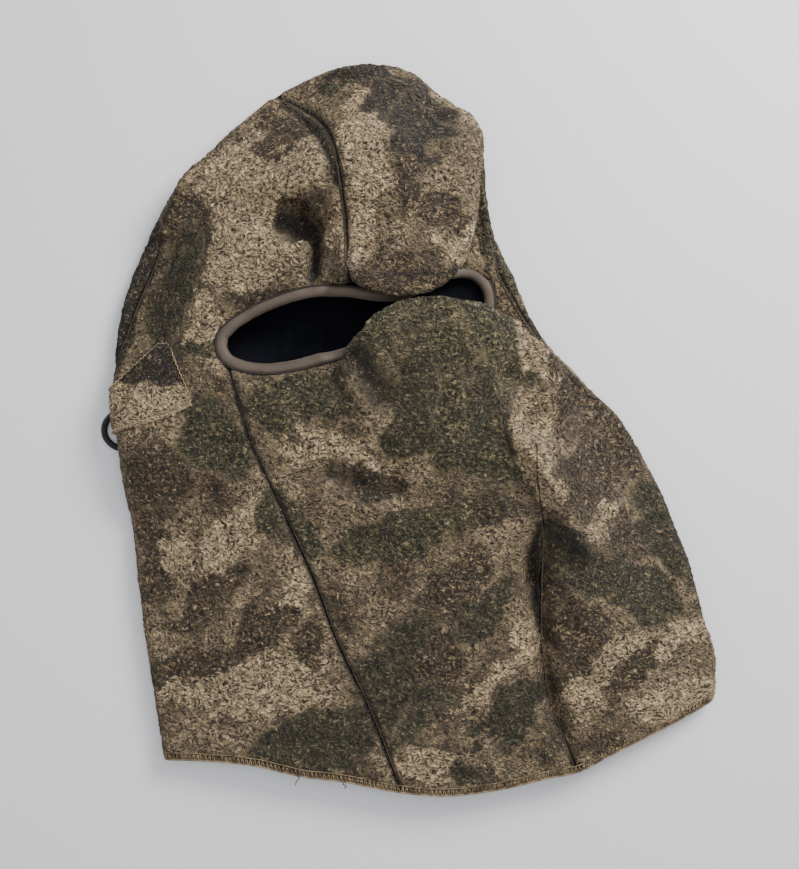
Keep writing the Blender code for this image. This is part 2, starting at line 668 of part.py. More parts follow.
def tabs():
    look = material("tab_fleece", (0.19, 0.15, 0.11), 1.0)
    tab_body("cord_tab_left", left_tab_rows(), TAB_MOUTH_DEPTH, look)
    tab_body("cord_tab_right", right_tab_rows(), TAB_MOUTH_DEPTH, look)


def drawcord():
    look = material("black_cord", (0.01, 0.01, 0.01), 0.6)
    route = np.array(CORD_ROUTE, float)
    knots = np.concatenate([[0], np.cumsum(np.linalg.norm(np.diff(route, axis=0), axis=1))])
    fine = smooth(np.column_stack([knots, route]), np.linspace(0, knots[-1], 80))
    return tube("drawcord", fine, CORD_DIAMETER, look, resolution=2)


def cylinder(bm, radius, y_from, y_to, segments=24):
    """A cylinder along y about the lock's axis, as a closed body in its own bmesh."""
    rings = [[bm.verts.new((radius * math.cos(2 * math.pi * k / segments), y,
                            radius * math.sin(2 * math.pi * k / segments))) for k in range(segments)]
             for y in (y_from, y_to)]
    for k in range(segments):
        n = (k + 1) % segments
        bm.faces.new((rings[0][k], rings[0][n], rings[1][n], rings[1][k]))
    bm.faces.new(rings[0])
    bm.faces.new(rings[1])
    bmesh.ops.recalc_face_normals(bm, faces=bm.faces)


def helper(name, build):
    """A cutter, in millimetres about the lock's centre, that a Boolean takes away."""
    bm = bmesh.new()
    build(bm)
    bmesh.ops.scale(bm, vec=(MM, MM, MM), verts=bm.verts)
    data = bpy.data.meshes.new(name)
    bm.to_mesh(data)
    bm.free()
    made = bpy.data.objects.new(name, data)
    bpy.context.scene.collection.objects.link(made)
    made.hide_render = True
    made.display_type = "WIRE"
    made.location = (MM * LOCK_PLACE[0], MM * LOCK_PLACE[1], MM * LOCK_HEIGHT)
    return made


def slot_cutter(name, low_y, high_y):
    """A hole along x that two stacked cords fit through, from low_y to high_y, with rounded corners."""
    corner = CORD_RADIUS + CORD_CLEARANCE
    turns = np.linspace(0, math.pi / 2, 5)

    def build(bm):
        profile = [(high_y - corner + corner * math.cos(t), CORD_RISE + corner * math.sin(t)) for t in turns]
        profile += [(low_y + corner - corner * math.sin(t), CORD_RISE + corner * math.cos(t)) for t in turns]
        profile += [(low_y + corner - corner * math.cos(t), -CORD_RISE - corner * math.sin(t)) for t in turns]
        profile += [(high_y - corner + corner * math.sin(t), -CORD_RISE - corner * math.cos(t)) for t in turns]
        profile = [here for here, after in zip(profile, profile[1:] + profile[:1])
                   if math.dist(here, after) > 0.01]
        rings = [[bm.verts.new((x, y, z)) for y, z in profile] for x in (-2 * LOCK_RADIUS, 2 * LOCK_RADIUS)]
        for k in range(len(profile)):
            n = (k + 1) % len(profile)
            bm.faces.new((rings[0][k], rings[0][n], rings[1][n], rings[1][k]))
        bm.faces.new(rings[0])
        bm.faces.new(rings[1])
        bmesh.ops.recalc_face_normals(bm, faces=bm.faces)
    return helper(name, build)


def cut(body, cutter):
    made = body.modifiers.new("cut_" + cutter.name, "BOOLEAN")
    made.operation = "DIFFERENCE"
    made.object = cutter


def turned(name, build, look):
    """A body about the lock's axis, in its own object with its origin there."""
    bm = bmesh.new()
    build(bm)
    bmesh.ops.scale(bm, vec=(MM, MM, MM), verts=bm.verts)
    made = finish_mesh(name, bm, look)
    made.location = (MM * LOCK_PLACE[0], MM * LOCK_PLACE[1], MM * LOCK_HEIGHT)
    return made


def cord_lock():
    """Barrel lock: a housing closed at -y, a plunger with its button at +y, and the spring between."""
    plastic = material("black_acetal", (0.012, 0.012, 0.012), 0.45)
    steel = material("spring_steel", (0.55, 0.55, 0.55), 0.3, 1.0)
    bore = LOCK_RADIUS - LOCK_WALL
    plunger = bore - PLUNGER_CLEARANCE
    foot, mouth = -LOCK_LENGTH * LOCK_FOOT_SHARE, LOCK_LENGTH * (1 - LOCK_FOOT_SHARE)
    cord_half = CORD_RADIUS + CORD_CLEARANCE

    housing = turned("lock_housing", lambda bm: cylinder(bm, LOCK_RADIUS, foot, mouth), plastic)
    cut(housing, helper("bore_cutter", lambda bm: cylinder(bm, bore, foot + LOCK_END_WALL, mouth + 5)))
    cut(housing, slot_cutter("housing_slot_cutter", -cord_half, cord_half))
    rim_bevel = housing.modifiers.new("rim", "BEVEL")
    rim_bevel.width = 0.8 * MM
    rim_bevel.segments = 2
    rim_bevel.limit_method = "ANGLE"
    rim_bevel.angle_limit = math.radians(80)
    housing.modifiers.move(len(housing.modifiers) - 1, 0)

    plunger_foot = -cord_half - 1.4
    button_end = mouth + BUTTON_STAND_OUT
    button = turned("lock_plunger", lambda bm: cylinder(bm, plunger, plunger_foot, button_end), plastic)
    button_bevel = button.modifiers.new("button_edge", "BEVEL")
    button_bevel.width = 0.8 * MM
    button_bevel.segments = 2
    button_bevel.limit_method = "ANGLE"
    button_bevel.angle_limit = math.radians(80)
    cut(button, slot_cutter("plunger_slot_cutter", -cord_half, cord_half + PLUNGER_TRAVEL))

    spring_low, spring_high = foot + LOCK_END_WALL + TOUCH, plunger_foot - TOUCH
    coil = (plunger - 1.6) - SPRING_WIRE / 2
    turns = np.linspace(0, 2 * math.pi * SPRING_TURNS, 10 * SPRING_TURNS + 1)
    rise = spring_low + SPRING_WIRE / 2 + (spring_high - spring_low - SPRING_WIRE) * turns / turns[-1]
    x, y = LOCK_PLACE
    helix = np.column_stack([x + coil * np.cos(turns), y + rise, LOCK_HEIGHT + coil * np.sin(turns)])
    tube("lock_spring", helix, SPRING_WIRE, steel)


def care_label():
    """A blank woven label on the lining inside the nape, clear of it."""
    look = material("label_satin", (0.6, 0.6, 0.58), 0.5)
    wide, long = LABEL_SIZE
    x, y = LABEL_PLACE
    rows = []
    for up in np.linspace(-long / 2, long / 2, 3):
        line = np.linspace(-wide / 2, wide / 2, 3)
        rows.append((np.column_stack([x + line, y + up + 0 * line]), np.zeros(3, bool)))
    depth = CLOTH_STACK + 4 * TOUCH
    slab("care_label", rows, depth, depth + LABEL_THICKNESS, look)


def stand_on_origin():
    """Moves everything so that the origin is under the middle of the hood's box; threads and cord lie inside."""
    bpy.context.view_layer.update()
    graph = bpy.context.evaluated_depsgraph_get()
    low, high = np.full(3, 1e9), np.full(3, -1e9)
    for piece in bpy.data.objects:
        if piece.hide_render or piece.type != "MESH":
            continue
        corners = np.array([piece.matrix_world @ Vector(c) for c in piece.evaluated_get(graph).bound_box])
        low, high = np.minimum(low, corners.min(axis=0)), np.maximum(high, corners.max(axis=0))
    shift = Vector(((low[0] + high[0]) / 2, (low[1] + high[1]) / 2, low[2]))
    for piece in bpy.data.objects:
        piece.location -= shift


def clear_scene():
    for old in list(bpy.data.objects):
        bpy.data.objects.remove(old)


clear_scene()
panels()
seams()
eye_binding()
hem_overlock()
tabs()
drawcord()
cord_lock()
care_label()
stand_on_origin()
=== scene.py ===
"""A camouflage fleece balaclava with a long bib, laid on its back with the face up.

The hood is one closed skin lying double: a top side and an underside that meet in a rounded
fold, open at the hem. Lengths below are millimetres in the plan that the pieces were cut to;
+x is the side with the long bib corner, +y the crown, +z up. place() carries them to the frame.
"""

import math

import bmesh
import bpy
import numpy as np
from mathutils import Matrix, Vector


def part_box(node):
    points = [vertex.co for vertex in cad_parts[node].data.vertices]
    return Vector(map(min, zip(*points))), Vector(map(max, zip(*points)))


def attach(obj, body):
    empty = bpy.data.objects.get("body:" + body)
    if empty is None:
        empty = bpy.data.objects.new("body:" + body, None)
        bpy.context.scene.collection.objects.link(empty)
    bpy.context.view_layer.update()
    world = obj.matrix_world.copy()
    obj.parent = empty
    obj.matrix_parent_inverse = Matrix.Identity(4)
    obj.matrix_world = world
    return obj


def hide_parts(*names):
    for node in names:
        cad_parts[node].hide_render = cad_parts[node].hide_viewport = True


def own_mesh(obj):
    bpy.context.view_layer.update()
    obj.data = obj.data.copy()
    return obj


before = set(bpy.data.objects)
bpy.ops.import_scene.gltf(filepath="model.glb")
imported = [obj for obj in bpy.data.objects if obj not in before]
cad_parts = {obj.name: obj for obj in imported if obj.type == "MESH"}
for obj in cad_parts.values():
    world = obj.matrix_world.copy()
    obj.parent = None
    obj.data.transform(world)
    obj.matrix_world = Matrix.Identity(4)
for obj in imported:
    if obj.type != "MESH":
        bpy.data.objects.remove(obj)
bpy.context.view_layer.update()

MM = 0.001

# Cloth: a curly pile fleece, a smooth lining bonded inside it, and the radius they fold to
FLEECE = 3.0
LINING = 1.2
EDGE_ROLL = 7.0
CROWN_ROLL = 17.0
HALF_SLOT = 0.25
PILE_STEP = 1.3
TUFT = 2.6
TUFT_HEIGHT = 1.05

# Where the front seams meet the eye opening, where the centre seam does, and the last row
CHEEK = 0.42
BROW = 0.68
TIP = 0.988

LEFT_FOLD = [
    (0.00, -159, -206), (0.08, -165, -167), (0.17, -172, -118), (0.26, -178, -68),
    (0.34, -184, -31), (0.40, -187, -3), (0.44, -189, 20), (0.50, -189, 52), (0.56, -184, 81),
    (0.62, -173, 110), (0.68, -160, 136), (0.76, -145, 156), (0.84, -128, 174),
    (0.92, -110, 193), (1.00, -91, 210),
]
RIGHT_FOLD = [
    (0.00, 187, -168), (0.06, 188, -143), (0.13, 180, -118), (0.20, 172, -88), (0.28, 160, -56),
    (0.34, 146, -25), (0.40, 122, 13), (0.44, 101, 34), (0.48, 82, 53), (0.52, 70, 71),
    (0.56, 61, 93), (0.60, 51, 116), (0.64, 44, 146), (0.68, 41, 176), (0.74, 31, 195),
    (0.80, 14, 208), (0.85, -7, 223), (0.91, -40, 227), (0.96, -68, 220), (1.00, -91, 210),
]
FRONT_SEAM_LEFT = [
    (0.000, -10, -224), (0.077, -29, -175), (0.155, -51, -127), (0.200, -61, -99),
    (0.280, -82, -50), (0.350, -102, -6), (0.420, -115, 38),
]
FRONT_SEAM_RIGHT = [
    (0.00, 100, -214), (0.08, 84, -170), (0.15, 78, -136), (0.22, 77, -100), (0.29, 77, -60),
    (0.35, 70, -22), (0.39, 60, 22), (0.42, 46, 64),
]
CENTRE_SEAM = [
    (0.68, -40, 86), (0.74, -43, 110), (0.80, -45, 137), (0.86, -50, 165), (0.91, -58, 186),
    (0.95, -69, 199), (1.00, -91, 210),
]
# How far round the fold each back seam lies: plus is on the top side, minus on the underside
BACK_SEAM_LEFT = [
    (0.00, -55), (0.28, -50), (0.38, -32), (0.45, -8), (0.50, 7), (0.56, 13), (0.62, 14),
    (0.68, 10), (0.76, 3), (0.85, -5), (0.93, -8), (1.00, -6),
]
BACK_SEAM_RIGHT = [
    (0.00, -55), (0.28, -50), (0.36, -22), (0.42, 4), (0.47, 12), (0.52, 14), (0.57, 11),
    (0.62, 0), (0.68, -12), (0.76, -20), (0.86, -18), (0.93, -12), (1.00, -6),
]
HEM = [
    (-200, -206), (-159, -206), (-134, -206), (-103, -208), (-72, -215), (-48, -218), (-10, -225),
    (14, -227), (52, -223), (82, -216), (101, -212), (120, -202), (138, -193), (151, -187),
    (169, -178), (187, -168), (220, -150),
]
# The eye opening's cut edge, from its right-hand corner over the brow and back along the cheek
EYE_RIM = [
    (46, 69), (49, 80), (46, 92), (38, 100), (27, 101), (14, 95), (2, 89), (-10, 85), (-23, 84),
    (-40, 86), (-57, 87), (-72, 85), (-91, 79), (-104, 73), (-115, 66), (-122, 58), (-122.5, 48),
    (-117, 40), (-106, 35.5), (-91, 34), (-72, 36.5), (-54, 41.5), (-40, 46), (-23, 50),
    (-6, 52.5), (12, 54), (29, 56), (40, 60),
]
# Bumps and hollows of the top side as (height, x, y, spread in x, spread in y)
BUMPS = [
    (30, 15, 22, 80, 44), (9, 30, -70, 60, 70), (26, -6, 146, 42, 44), (16, -95, 112, 52, 46),
    (5, -118, 0, 50, 60), (-20, 34, 84, 34, 14), (-14, 54, 106, 12, 34),
    (-8, -86, 60, 26, 20), (4, -62, 162, 16, 24), (-11, -71, 127, 13, 6), (-6, -86, 129, 16, 8),
    (4, -84, 108, 16, 10), (-4, -30, -24, 24, 10), (4, -35, -44, 26, 10), (4, -98, -60, 20, 60),
    (-3, -140, -40, 20, 50), (5, 120, -70, 26, 50),
]
# The drawcord from the left tab round through the lock, out in its pull loop and back, to the right tab
CORD_ROUTE = [
    (-169.2, 16.5, 11.4), (-158, 16.8, 11.0), (-144, 17.0, 10.6), (-130, 17.0, 10.4), (-116, 17.0, 10.4),
    (-106, 15.5, 10.6), (-98.5, 11.0, 10.8), (-96.0, 5.0, 11.0), (-98.5, -0.4, 11.1),
    (-103.5, -2.7, 11.1), (-110, -3.0, 11.1), (-125, -3.0, 11.1), (-140, -3.0, 11.1),
    (-145, -2.6, 10.9), (-152, 0.4, 9.0), (-160, 4.6, 5.6), (-168, 8.6, 3.2), (-176, 11.4, 2.3),
    (-185, 12.2, 2.2), (-193, 9.6, 2.2), (-197.6, 3.6, 2.2), (-197.6, -3.4, 2.2),
    (-193, -9.4, 2.2), (-185, -12.0, 2.2), (-176, -10.6, 2.2), (-166, -7.4, 2.6),
    (-155, -4.4, 4.4), (-146, -3.1, 6.2), (-140, -3.0, 6.5), (-125, -3.0, 6.5), (-110, -3.0, 6.5),
    (-100, -3.0, 6.0), (-86, -2.4, 4.0), (-70, 0.0, 2.6), (-50, 7.0, 2.3), (-30, 19.0, 2.3),
    (-12, 36.0, 2.6), (-1, 46.6, 3.8), (7, 53.4, 4.6),
]
CORD_DIAMETER = 4.0
LOCK_PLACE = (-125.0, -3.0)

# The frame's origin is under the middle of the hood; the hem's thread shows where the plan lies in it.
HEM_CORNER = (LEFT_FOLD[0][1], min(y for _, y in HEM) - 1.81)
ORIGIN = np.array([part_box("hem_overlock")[0][k] / MM - HEM_CORNER[k] for k in range(2)] + [0.0])


def place(points):
    """Plan millimetres as metres in the frame."""
    return (np.asarray(points, float) + ORIGIN) * MM


# ---------------------------------------------------------------- lines and fields of the hood


def smooth(table, at):
    """The values of rows (knot, value, ...) at these knots, on one smooth curve through them."""
    table = np.array(table, float)
    knots, values = table[:, 0], table[:, 1:]
    slopes = np.gradient(values, knots, axis=0)
    at = np.clip(np.atleast_1d(np.asarray(at, float)), knots[0], knots[-1])
    i = np.clip(np.searchsorted(knots, at, side="right") - 1, 0, len(knots) - 2)
    step = (knots[i + 1] - knots[i])[:, None]
    t = (at - knots[i])[:, None] / step
    a, b = values[i], values[i + 1]
    from_a = (1 + 2 * t) * (1 - t) ** 2 * a + t * (1 - t) ** 2 * step * slopes[i]
    from_b = t * t * (3 - 2 * t) * b + t * t * (t - 1) * step * slopes[i + 1]
    return from_a + from_b


def run_along(line):
    """The length along a line up to each of its points."""
    return np.concatenate([[0], np.cumsum(np.linalg.norm(np.diff(line, axis=0), axis=1))])


def points_at(line, lengths, at):
    """The points of a line at these lengths along it."""
    return np.column_stack([np.interp(at, lengths, column) for column in line.T])


def blurred(line):
    """A closed line with each point drawn a little towards the ones beside it."""
    return (np.roll(line, 1, axis=0) + 2 * line + np.roll(line, -1, axis=0)) / 4


def from_peak(p):
    """How far plan positions lie from the crown's peak."""
    return np.hypot(*(p - LEFT_FOLD[-1][1:]).T)


def along_line(points, count):
    """count points evenly along one smooth curve through these."""
    points = np.array(points, float)
    knots = run_along(points)
    return smooth(np.column_stack([knots, points]), np.linspace(0, knots[-1], count))


def ease(t):
    t = np.clip(t, 0, 1)
    return t * t * (3 - 2 * t)


def hem_y(x):
    return smooth(HEM, x)[:, 0]


def nearest(p, line):
    """Distance from each plan position to a line of points, the side it lies on, and how far along."""
    line = np.array(line, float)
    best, side, along = np.full(len(p), 1e9), np.ones(len(p)), np.zeros(len(p))
    done, total = 0.0, np.linalg.norm(np.diff(line, axis=0), axis=1).sum()
    for start, end in zip(line[:-1], line[1:]):
        edge = end - start
        length = np.linalg.norm(edge)
        if length < 1e-9:
            continue
        share = np.clip((p - start) @ edge / length**2, 0, 1)
        off = p - start - share[:, None] * edge
        far = np.hypot(off[:, 0], off[:, 1])
        nearer = far < best
        best[nearer] = far[nearer]
        side[nearer] = np.sign(edge[0] * off[nearer, 1] - edge[1] * off[nearer, 0])
        along[nearer] = (done + share[nearer] * length) / total
        done += length
    return best, side, along


def fold_map():
    """Signed distance inside the folded edges, on a grid of whole millimetres."""
    steps = np.linspace(0, 1, 110)
    left, right = smooth(LEFT_FOLD, steps), smooth(RIGHT_FOLD, steps)
    below = np.array([0, -120.0])
    outline = np.concatenate([[left[0] + below], left, right[::-1], [right[0] + below]])
    x, y = np.meshgrid(np.arange(-225, 226), np.arange(-260, 261), indexing="ij")
    p = np.column_stack([x.ravel(), y.ravel()]).astype(float)
    far, side, _ = nearest(p, outline)
    return (-far * side).reshape(x.shape)


FOLD_MAP = fold_map()


def fold_distance(p):
    at = np.clip(p + (225, 260), 0, np.array(FOLD_MAP.shape) - 1.001)
    i = at.astype(int)
    t = at - i
    x, y = i[:, 0], i[:, 1]
    low = FOLD_MAP[x, y] * (1 - t[:, 0]) + FOLD_MAP[x + 1, y] * t[:, 0]
    high = FOLD_MAP[x, y + 1] * (1 - t[:, 0]) + FOLD_MAP[x + 1, y + 1] * t[:, 0]
    return low * (1 - t[:, 1]) + high * t[:, 1]


def fold_radius(p):
    """Tight along the sides, full over the crown's end, tight again at its peak."""
    crown = ease((p[:, 1] - 105) / 75) * ease((from_peak(p) - 8) / 60)
    flat_shelf = ease((p[:, 0] - 10) / 25) * ease((190 - p[:, 1]) / 20)
    return EDGE_ROLL + (CROWN_ROLL - EDGE_ROLL) * crown * (1 - 0.85 * flat_shelf)


def near_line(p, line, flat, fade):
    return ease((flat + fade - nearest(p, line)[0]) / fade)


def under_lift(p):
    """How far the underside is held off the ground by the cord, its lock and the tab under it."""
    over_cord = 7.4 * near_line(p, np.array(CORD_ROUTE)[::2, :2], 15, 34)
    x, y = LOCK_PLACE
    over_lock = 19.6 * near_line(p, [(x + 8, y + 3), (x - 10, y + 3)], 22, 52)
    over_tab = 6.0 * near_line(p, [(32, 53), (64, 57)], 30, 30)
    return (over_cord**4 + over_lock**4 + over_tab**4) ** 0.25


def loft(p):
    """Height of the top side over its folded edge."""
    height = np.full(len(p), 13.0)
    for tall, x, y, wide, long in BUMPS:
        height = height + tall * np.exp(-((p[:, 0] - x) / wide) ** 2 / 2 - ((p[:, 1] - y) / long) ** 2 / 2)
    from_hem = ease((p[:, 1] - hem_y(p[:, 0])) / 130)
    return height * (0.42 + 0.58 * from_hem)


# Rolls: the edge of a slack fold that hangs over what is beside it. Each is a line in the plan with its
# high side on the right as it runs, and (share along it, overhang) pairs.
CROWN_ROLL_EDGE = {
    "line": [(30, 200), (30, 181), (29, 165), (28, 147), (25, 126), (18, 108), (11, 99), (2, 94), (-14, 91),
             (-28, 90), (-42, 91), (-56, 96)],
    "overhang": [(0, 4), (0.1, 16), (0.3, 18), (0.5, 20), (0.66, 21), (0.78, 18), (0.86, 13),
                 (0.93, 6), (1, 0)],
    "width": 10.0, "rise": 10.0,
}
CHIN_ROLL_EDGE = {
    "line": [(-54, 33), (-42, 39), (-26, 43), (-8, 46), (10, 47), (28, 48), (42, 50), (56, 47), (74, 38),
             (88, 28), (100, 16)],
    "overhang": [(0, 3), (0.08, 18), (0.2, 36), (0.4, 45), (0.58, 37), (0.72, 27), (0.88, 20), (1, 6)],
    "width": 14.5, "rise": 9.0,
}


# How far either side of a place on a roll's line the line's direction there is taken from
ROLL_TURN = 12.0


def hang_over(points, roll, free, whole):
    """Carries cloth on a roll's high side out over its line; free is 0 at the fold, where nothing moves."""
    p = points[:, :2]
    far, side, along = nearest(p, roll["line"])
    line = np.array(roll["line"], float)
    d = -far * side / roll["width"]
    swell = d * np.exp(0.5 - d * d / 2) * free
    push = smooth(roll["overhang"], along)[:, 0]
    ends = ease(along / 0.06) * ease((1 - along) / 0.06)
    # The way towards the low side, taken from the line a little way either side of the nearest point.
    lengths = run_along(line)
    at = np.clip(along, 0, 1) * lengths[-1]
    way = points_at(line, lengths, at + ROLL_TURN) - points_at(line, lengths, at - ROLL_TURN)
    way /= np.linalg.norm(way, axis=1)[:, None] + 1e-9
    low_side = np.column_stack([-way[:, 1], way[:, 0]])
    high = swell > 0
    moved = points.copy()
    moved[:, :2] += low_side * np.where(high, push * whole, 0.08 * push)[:, None] * swell[:, None]
    moved[:, 2] += roll["rise"] * ends * swell * np.where(high, whole, 0.5)
    return moved


def lie(p, top, whole=1.0):
    """Where the skin lies over these plan positions, on its top side or its underside."""
    r = fold_radius(p)
    distance = fold_distance(p)
    across = 1 - np.clip(distance, 0, r) / r
    arc = np.sqrt(np.clip(1 - across**2, 0, 1))
    lift = under_lift(p)
    inside = ease((distance - 3) / 52.0)
    high = lift * (1 - inside) + r + loft(p) * inside + r * arc
    low = lift + r * (1 - arc)
    over = np.column_stack([p, high])
    free = ease((distance - 0.5) / 6.0) * ease((from_peak(p) - 20) / 30)
    for roll in (CROWN_ROLL_EDGE, CHIN_ROLL_EDGE):
        over = hang_over(over, roll, free, whole)
    return np.where(top[:, None], over, np.column_stack([p, low]))


def noise(points, size, seed=0):
    """Smooth noise from -1 to 1 that changes over about this size."""
    q = points / size + 31.7 * seed
    cell = np.floor(q).astype(np.int64)
    f = q - cell
    u = f * f * f * (f * (f * 6 - 15) + 10)
    total = np.zeros(len(points))
    for k in range(8):
        corner = np.array([k & 1, k >> 1 & 1, k >> 2])
        at = cell + corner
        h = (at[:, 0] * 73856093) ^ (at[:, 1] * 19349663) ^ (at[:, 2] * 83492791)
        h = (h ^ (h >> 13)) * 1274126177
        slopes = np.column_stack([(h >> s & 255) / 127.5 - 1 for s in (3, 11, 19)])
        weight = np.prod(np.where(corner, u, 1 - u), axis=1)
        total += weight * np.einsum("ij,ij->i", slopes, f - corner)
    return total * 1.3


# ---------------------------------------------------------------- panels


def closed_rim():
    corners = np.array(EYE_RIM, float)
    corners = np.concatenate([corners[-3:], corners, corners[:4]])
    knots = np.linspace(3, len(EYE_RIM) + 3, 900, endpoint=False)
    fine = smooth(np.column_stack([np.arange(len(corners)), corners]), knots)
    for _ in range(12):
        fine = blurred(fine)
    steps = np.roll(fine, -1, axis=0) - np.roll(fine, 1, axis=0)
    steps /= np.linalg.norm(steps, axis=1)[:, None]
    lengths = np.linalg.norm(np.roll(fine, -1, axis=0) - fine, axis=1)
    return fine, np.column_stack([steps[:, 1], -steps[:, 0]]), np.concatenate([[0], np.cumsum(lengths)])


RIM = closed_rim()


def rim(along, grow=0.0):
    """Plan positions at lengths along the eye opening's edge, moved outwards by grow."""
    line, normals, lengths = RIM
    along = np.mod(np.atleast_1d(np.asarray(along, float)), lengths[-1])
    moved = line + grow * normals
    moved = np.concatenate([moved, moved[:1]])
    return points_at(moved, lengths, along)


def rim_length_at(point):
    return RIM[2][np.argmin(np.linalg.norm(RIM[0] - point, axis=1))]


RIM_LEFT, RIM_RIGHT, RIM_BROW = (
    rim_length_at(table[end][1:]) for table, end in (
        (FRONT_SEAM_LEFT, -1), (FRONT_SEAM_RIGHT, -1), (CENTRE_SEAM, 0)))


def beside(table, station, gap):
    ends = smooth(table, [station - 0.01, station + 0.01])
    way = (ends[1] - ends[0]) / np.linalg.norm(ends[1] - ends[0])
    return smooth(table, station)[0] + gap * np.array([way[1], -way[0]])


def inner_edge(station, left):
    """Where a side panel ends: at its front seam, then round the eye opening, then at the centre seam."""
    gap = -HALF_SLOT if left else HALF_SLOT
    if station < CHEEK - 1e-6:
        return beside(FRONT_SEAM_LEFT if left else FRONT_SEAM_RIGHT, station, gap)
    if station > BROW + 1e-6:
        return beside(CENTRE_SEAM, station, gap)
    share = (station - CHEEK) / (BROW - CHEEK)
    if left:
        start, end = RIM_LEFT - HALF_SLOT, RIM_BROW + HALF_SLOT
    else:
        start, end = RIM_RIGHT + HALF_SLOT - RIM[2][-1], RIM_BROW - HALF_SLOT
        share = share**1.35
    return rim(start + (end - start) * share, 0.2)[0]


def folds(station, left):
    here, there = smooth(LEFT_FOLD, station)[0], smooth(RIGHT_FOLD, station)[0]
    return (here, there) if left else (there, here)


HEM_INNER = {side: inner_edge(0.0, side) for side in (True, False)}


def row_places(station, left, ell):
    """Plan positions and sides at distances ell over the surface from a fold: plus on the top side."""
    fold, far = folds(station, left)
    fold_at_hem, far_at_hem = folds(0.0, left)
    over = ell >= 0
    r = fold_radius(fold[None])[0]
    turned = np.minimum(np.abs(ell) / r, math.pi / 2)
    inward = r * (1 - np.cos(turned)) + np.abs(ell) - r * turned
    end = np.where(over[:, None], inner_edge(station, left), far)
    end_at_hem = np.where(over[:, None], HEM_INNER[left], far_at_hem)
    share = (inward / np.linalg.norm(end - fold, axis=1))[:, None]
    p = fold + share * (end - fold)
    chord = fold_at_hem + share * (end_at_hem - fold_at_hem)
    p[:, 1] += max(1 - station / 0.3, 0) ** 2 * (hem_y(chord[:, 0]) - chord[:, 1])
    return p, over


def side_row(station, left, shares):
    fold, _ = folds(station, left)
    r = fold_radius(fold[None])[0]
    start = smooth(BACK_SEAM_LEFT if left else BACK_SEAM_RIGHT, station)[0, 0] + HALF_SLOT
    end = np.linalg.norm(inner_edge(station, left) - fold) + r * (math.pi / 2 - 1)
    return row_places(station, left, start + shares * (end - start))


def back_row(station, shares):
    left, right = folds(station, True)
    corner = (math.pi / 2 - 1) * (fold_radius(left[None])[0] + fold_radius(right[None])[0])
    total = np.linalg.norm(right - left) + corner
    start = HALF_SLOT - smooth(BACK_SEAM_LEFT, station)[0, 0]
    end = total + smooth(BACK_SEAM_RIGHT, station)[0, 0] - HALF_SLOT
    along = start + shares * (end - start)
    near_left = along < total / 2
    from_left, over_left = row_places(station, True, -along)
    from_right, over_right = row_places(station, False, along - total)
    return np.where(near_left[:, None], from_left, from_right), np.where(near_left, over_left, over_right)


def front_row(station, shares):
    """A row of the patch between the two front seams, the hem and the eye opening's lower edge."""
    start, end = RIM_LEFT + HALF_SLOT, RIM_RIGHT - HALF_SLOT
    upper = rim(start + shares * (end - start), 0.2)
    upper_ends = rim([start, end], 0.2)
    left, right = beside(FRONT_SEAM_LEFT, station, HALF_SLOT), beside(FRONT_SEAM_RIGHT, station, -HALF_SLOT)
    foot_x = [beside(table, 0.0, gap)[0] for table, gap in (
        (FRONT_SEAM_LEFT, HALF_SLOT), (FRONT_SEAM_RIGHT, -HALF_SLOT))]
    lower_x = foot_x[0] + shares * (foot_x[1] - foot_x[0])
    lower = np.column_stack([lower_x, hem_y(lower_x)])
    lower_ends = np.column_stack([foot_x, hem_y(np.array(foot_x))])
    up = station / CHEEK
    u = shares[:, None]
    left = left + (1 - up) ** 8 * (lower_ends[0] - beside(FRONT_SEAM_LEFT, 0.0, HALF_SLOT))
    right = right + (1 - up) ** 8 * (lower_ends[1] - beside(FRONT_SEAM_RIGHT, 0.0, -HALF_SLOT))
    ruled = (1 - u) * left + u * right + (1 - up) * lower + up * upper
    corners = (1 - up) * ((1 - u) * lower_ends[0] + u * lower_ends[1])
    corners = corners + up * ((1 - u) * upper_ends[0] + u * upper_ends[1])
    return ruled - corners, np.ones(len(shares), bool)


def even_grid(row, first, last, step):
    """The skin's points on a grid of rows, spaced evenly over the lying cloth."""
    def lay(stations, shares):
        rows = [row(s, sh) for s, sh in zip(stations, shares)]
        p = np.concatenate([r[0] for r in rows])
        top = np.concatenate([r[1] for r in rows])
        return lie(p, top).reshape(len(stations), -1, 3), p, top

    trial = np.linspace(first, last, 130)
    coarse = lay(trial, [np.linspace(0, 1, 40)] * len(trial))[0]
    gaps = np.percentile(np.linalg.norm(np.diff(coarse, axis=0), axis=2), 88, axis=1)
    run = np.concatenate([[0], np.cumsum(gaps)])
    stations = np.interp(np.linspace(0, run[-1], int(run[-1] / step / 2) * 2 + 3), run, trial)
    even = np.linspace(0, 1, 90)
    coarse = lay(stations, [even] * len(stations))[0]
    runs = np.cumsum(np.linalg.norm(np.diff(coarse, axis=1), axis=2), axis=1)
    runs = np.column_stack([np.zeros(len(stations)), runs])
    count = int(np.percentile(runs[:, -1], 97) / step / 2) * 2 + 3
    shares = [np.interp(np.linspace(0, r[-1], count), r, even) for r in runs]
    return lay(stations, shares)


# A point inside the crown near its peak, which the skin there faces away from
INSIDE_PEAK = (-66, 188, 13.0)


def steady(normals, points, p):
    """Normals that turn to point away from the hood's inside round its peak, where the rows draw together."""
    by_peak = ease((40 - from_peak(p)) / 14).reshape(points.shape[:2])[:, :, None]
    away = points - INSIDE_PEAK
    away /= np.linalg.norm(away, axis=2)[:, :, None]
    normals = normals * (1 - by_peak) + away * by_peak
    return normals / np.linalg.norm(normals, axis=2)[:, :, None]


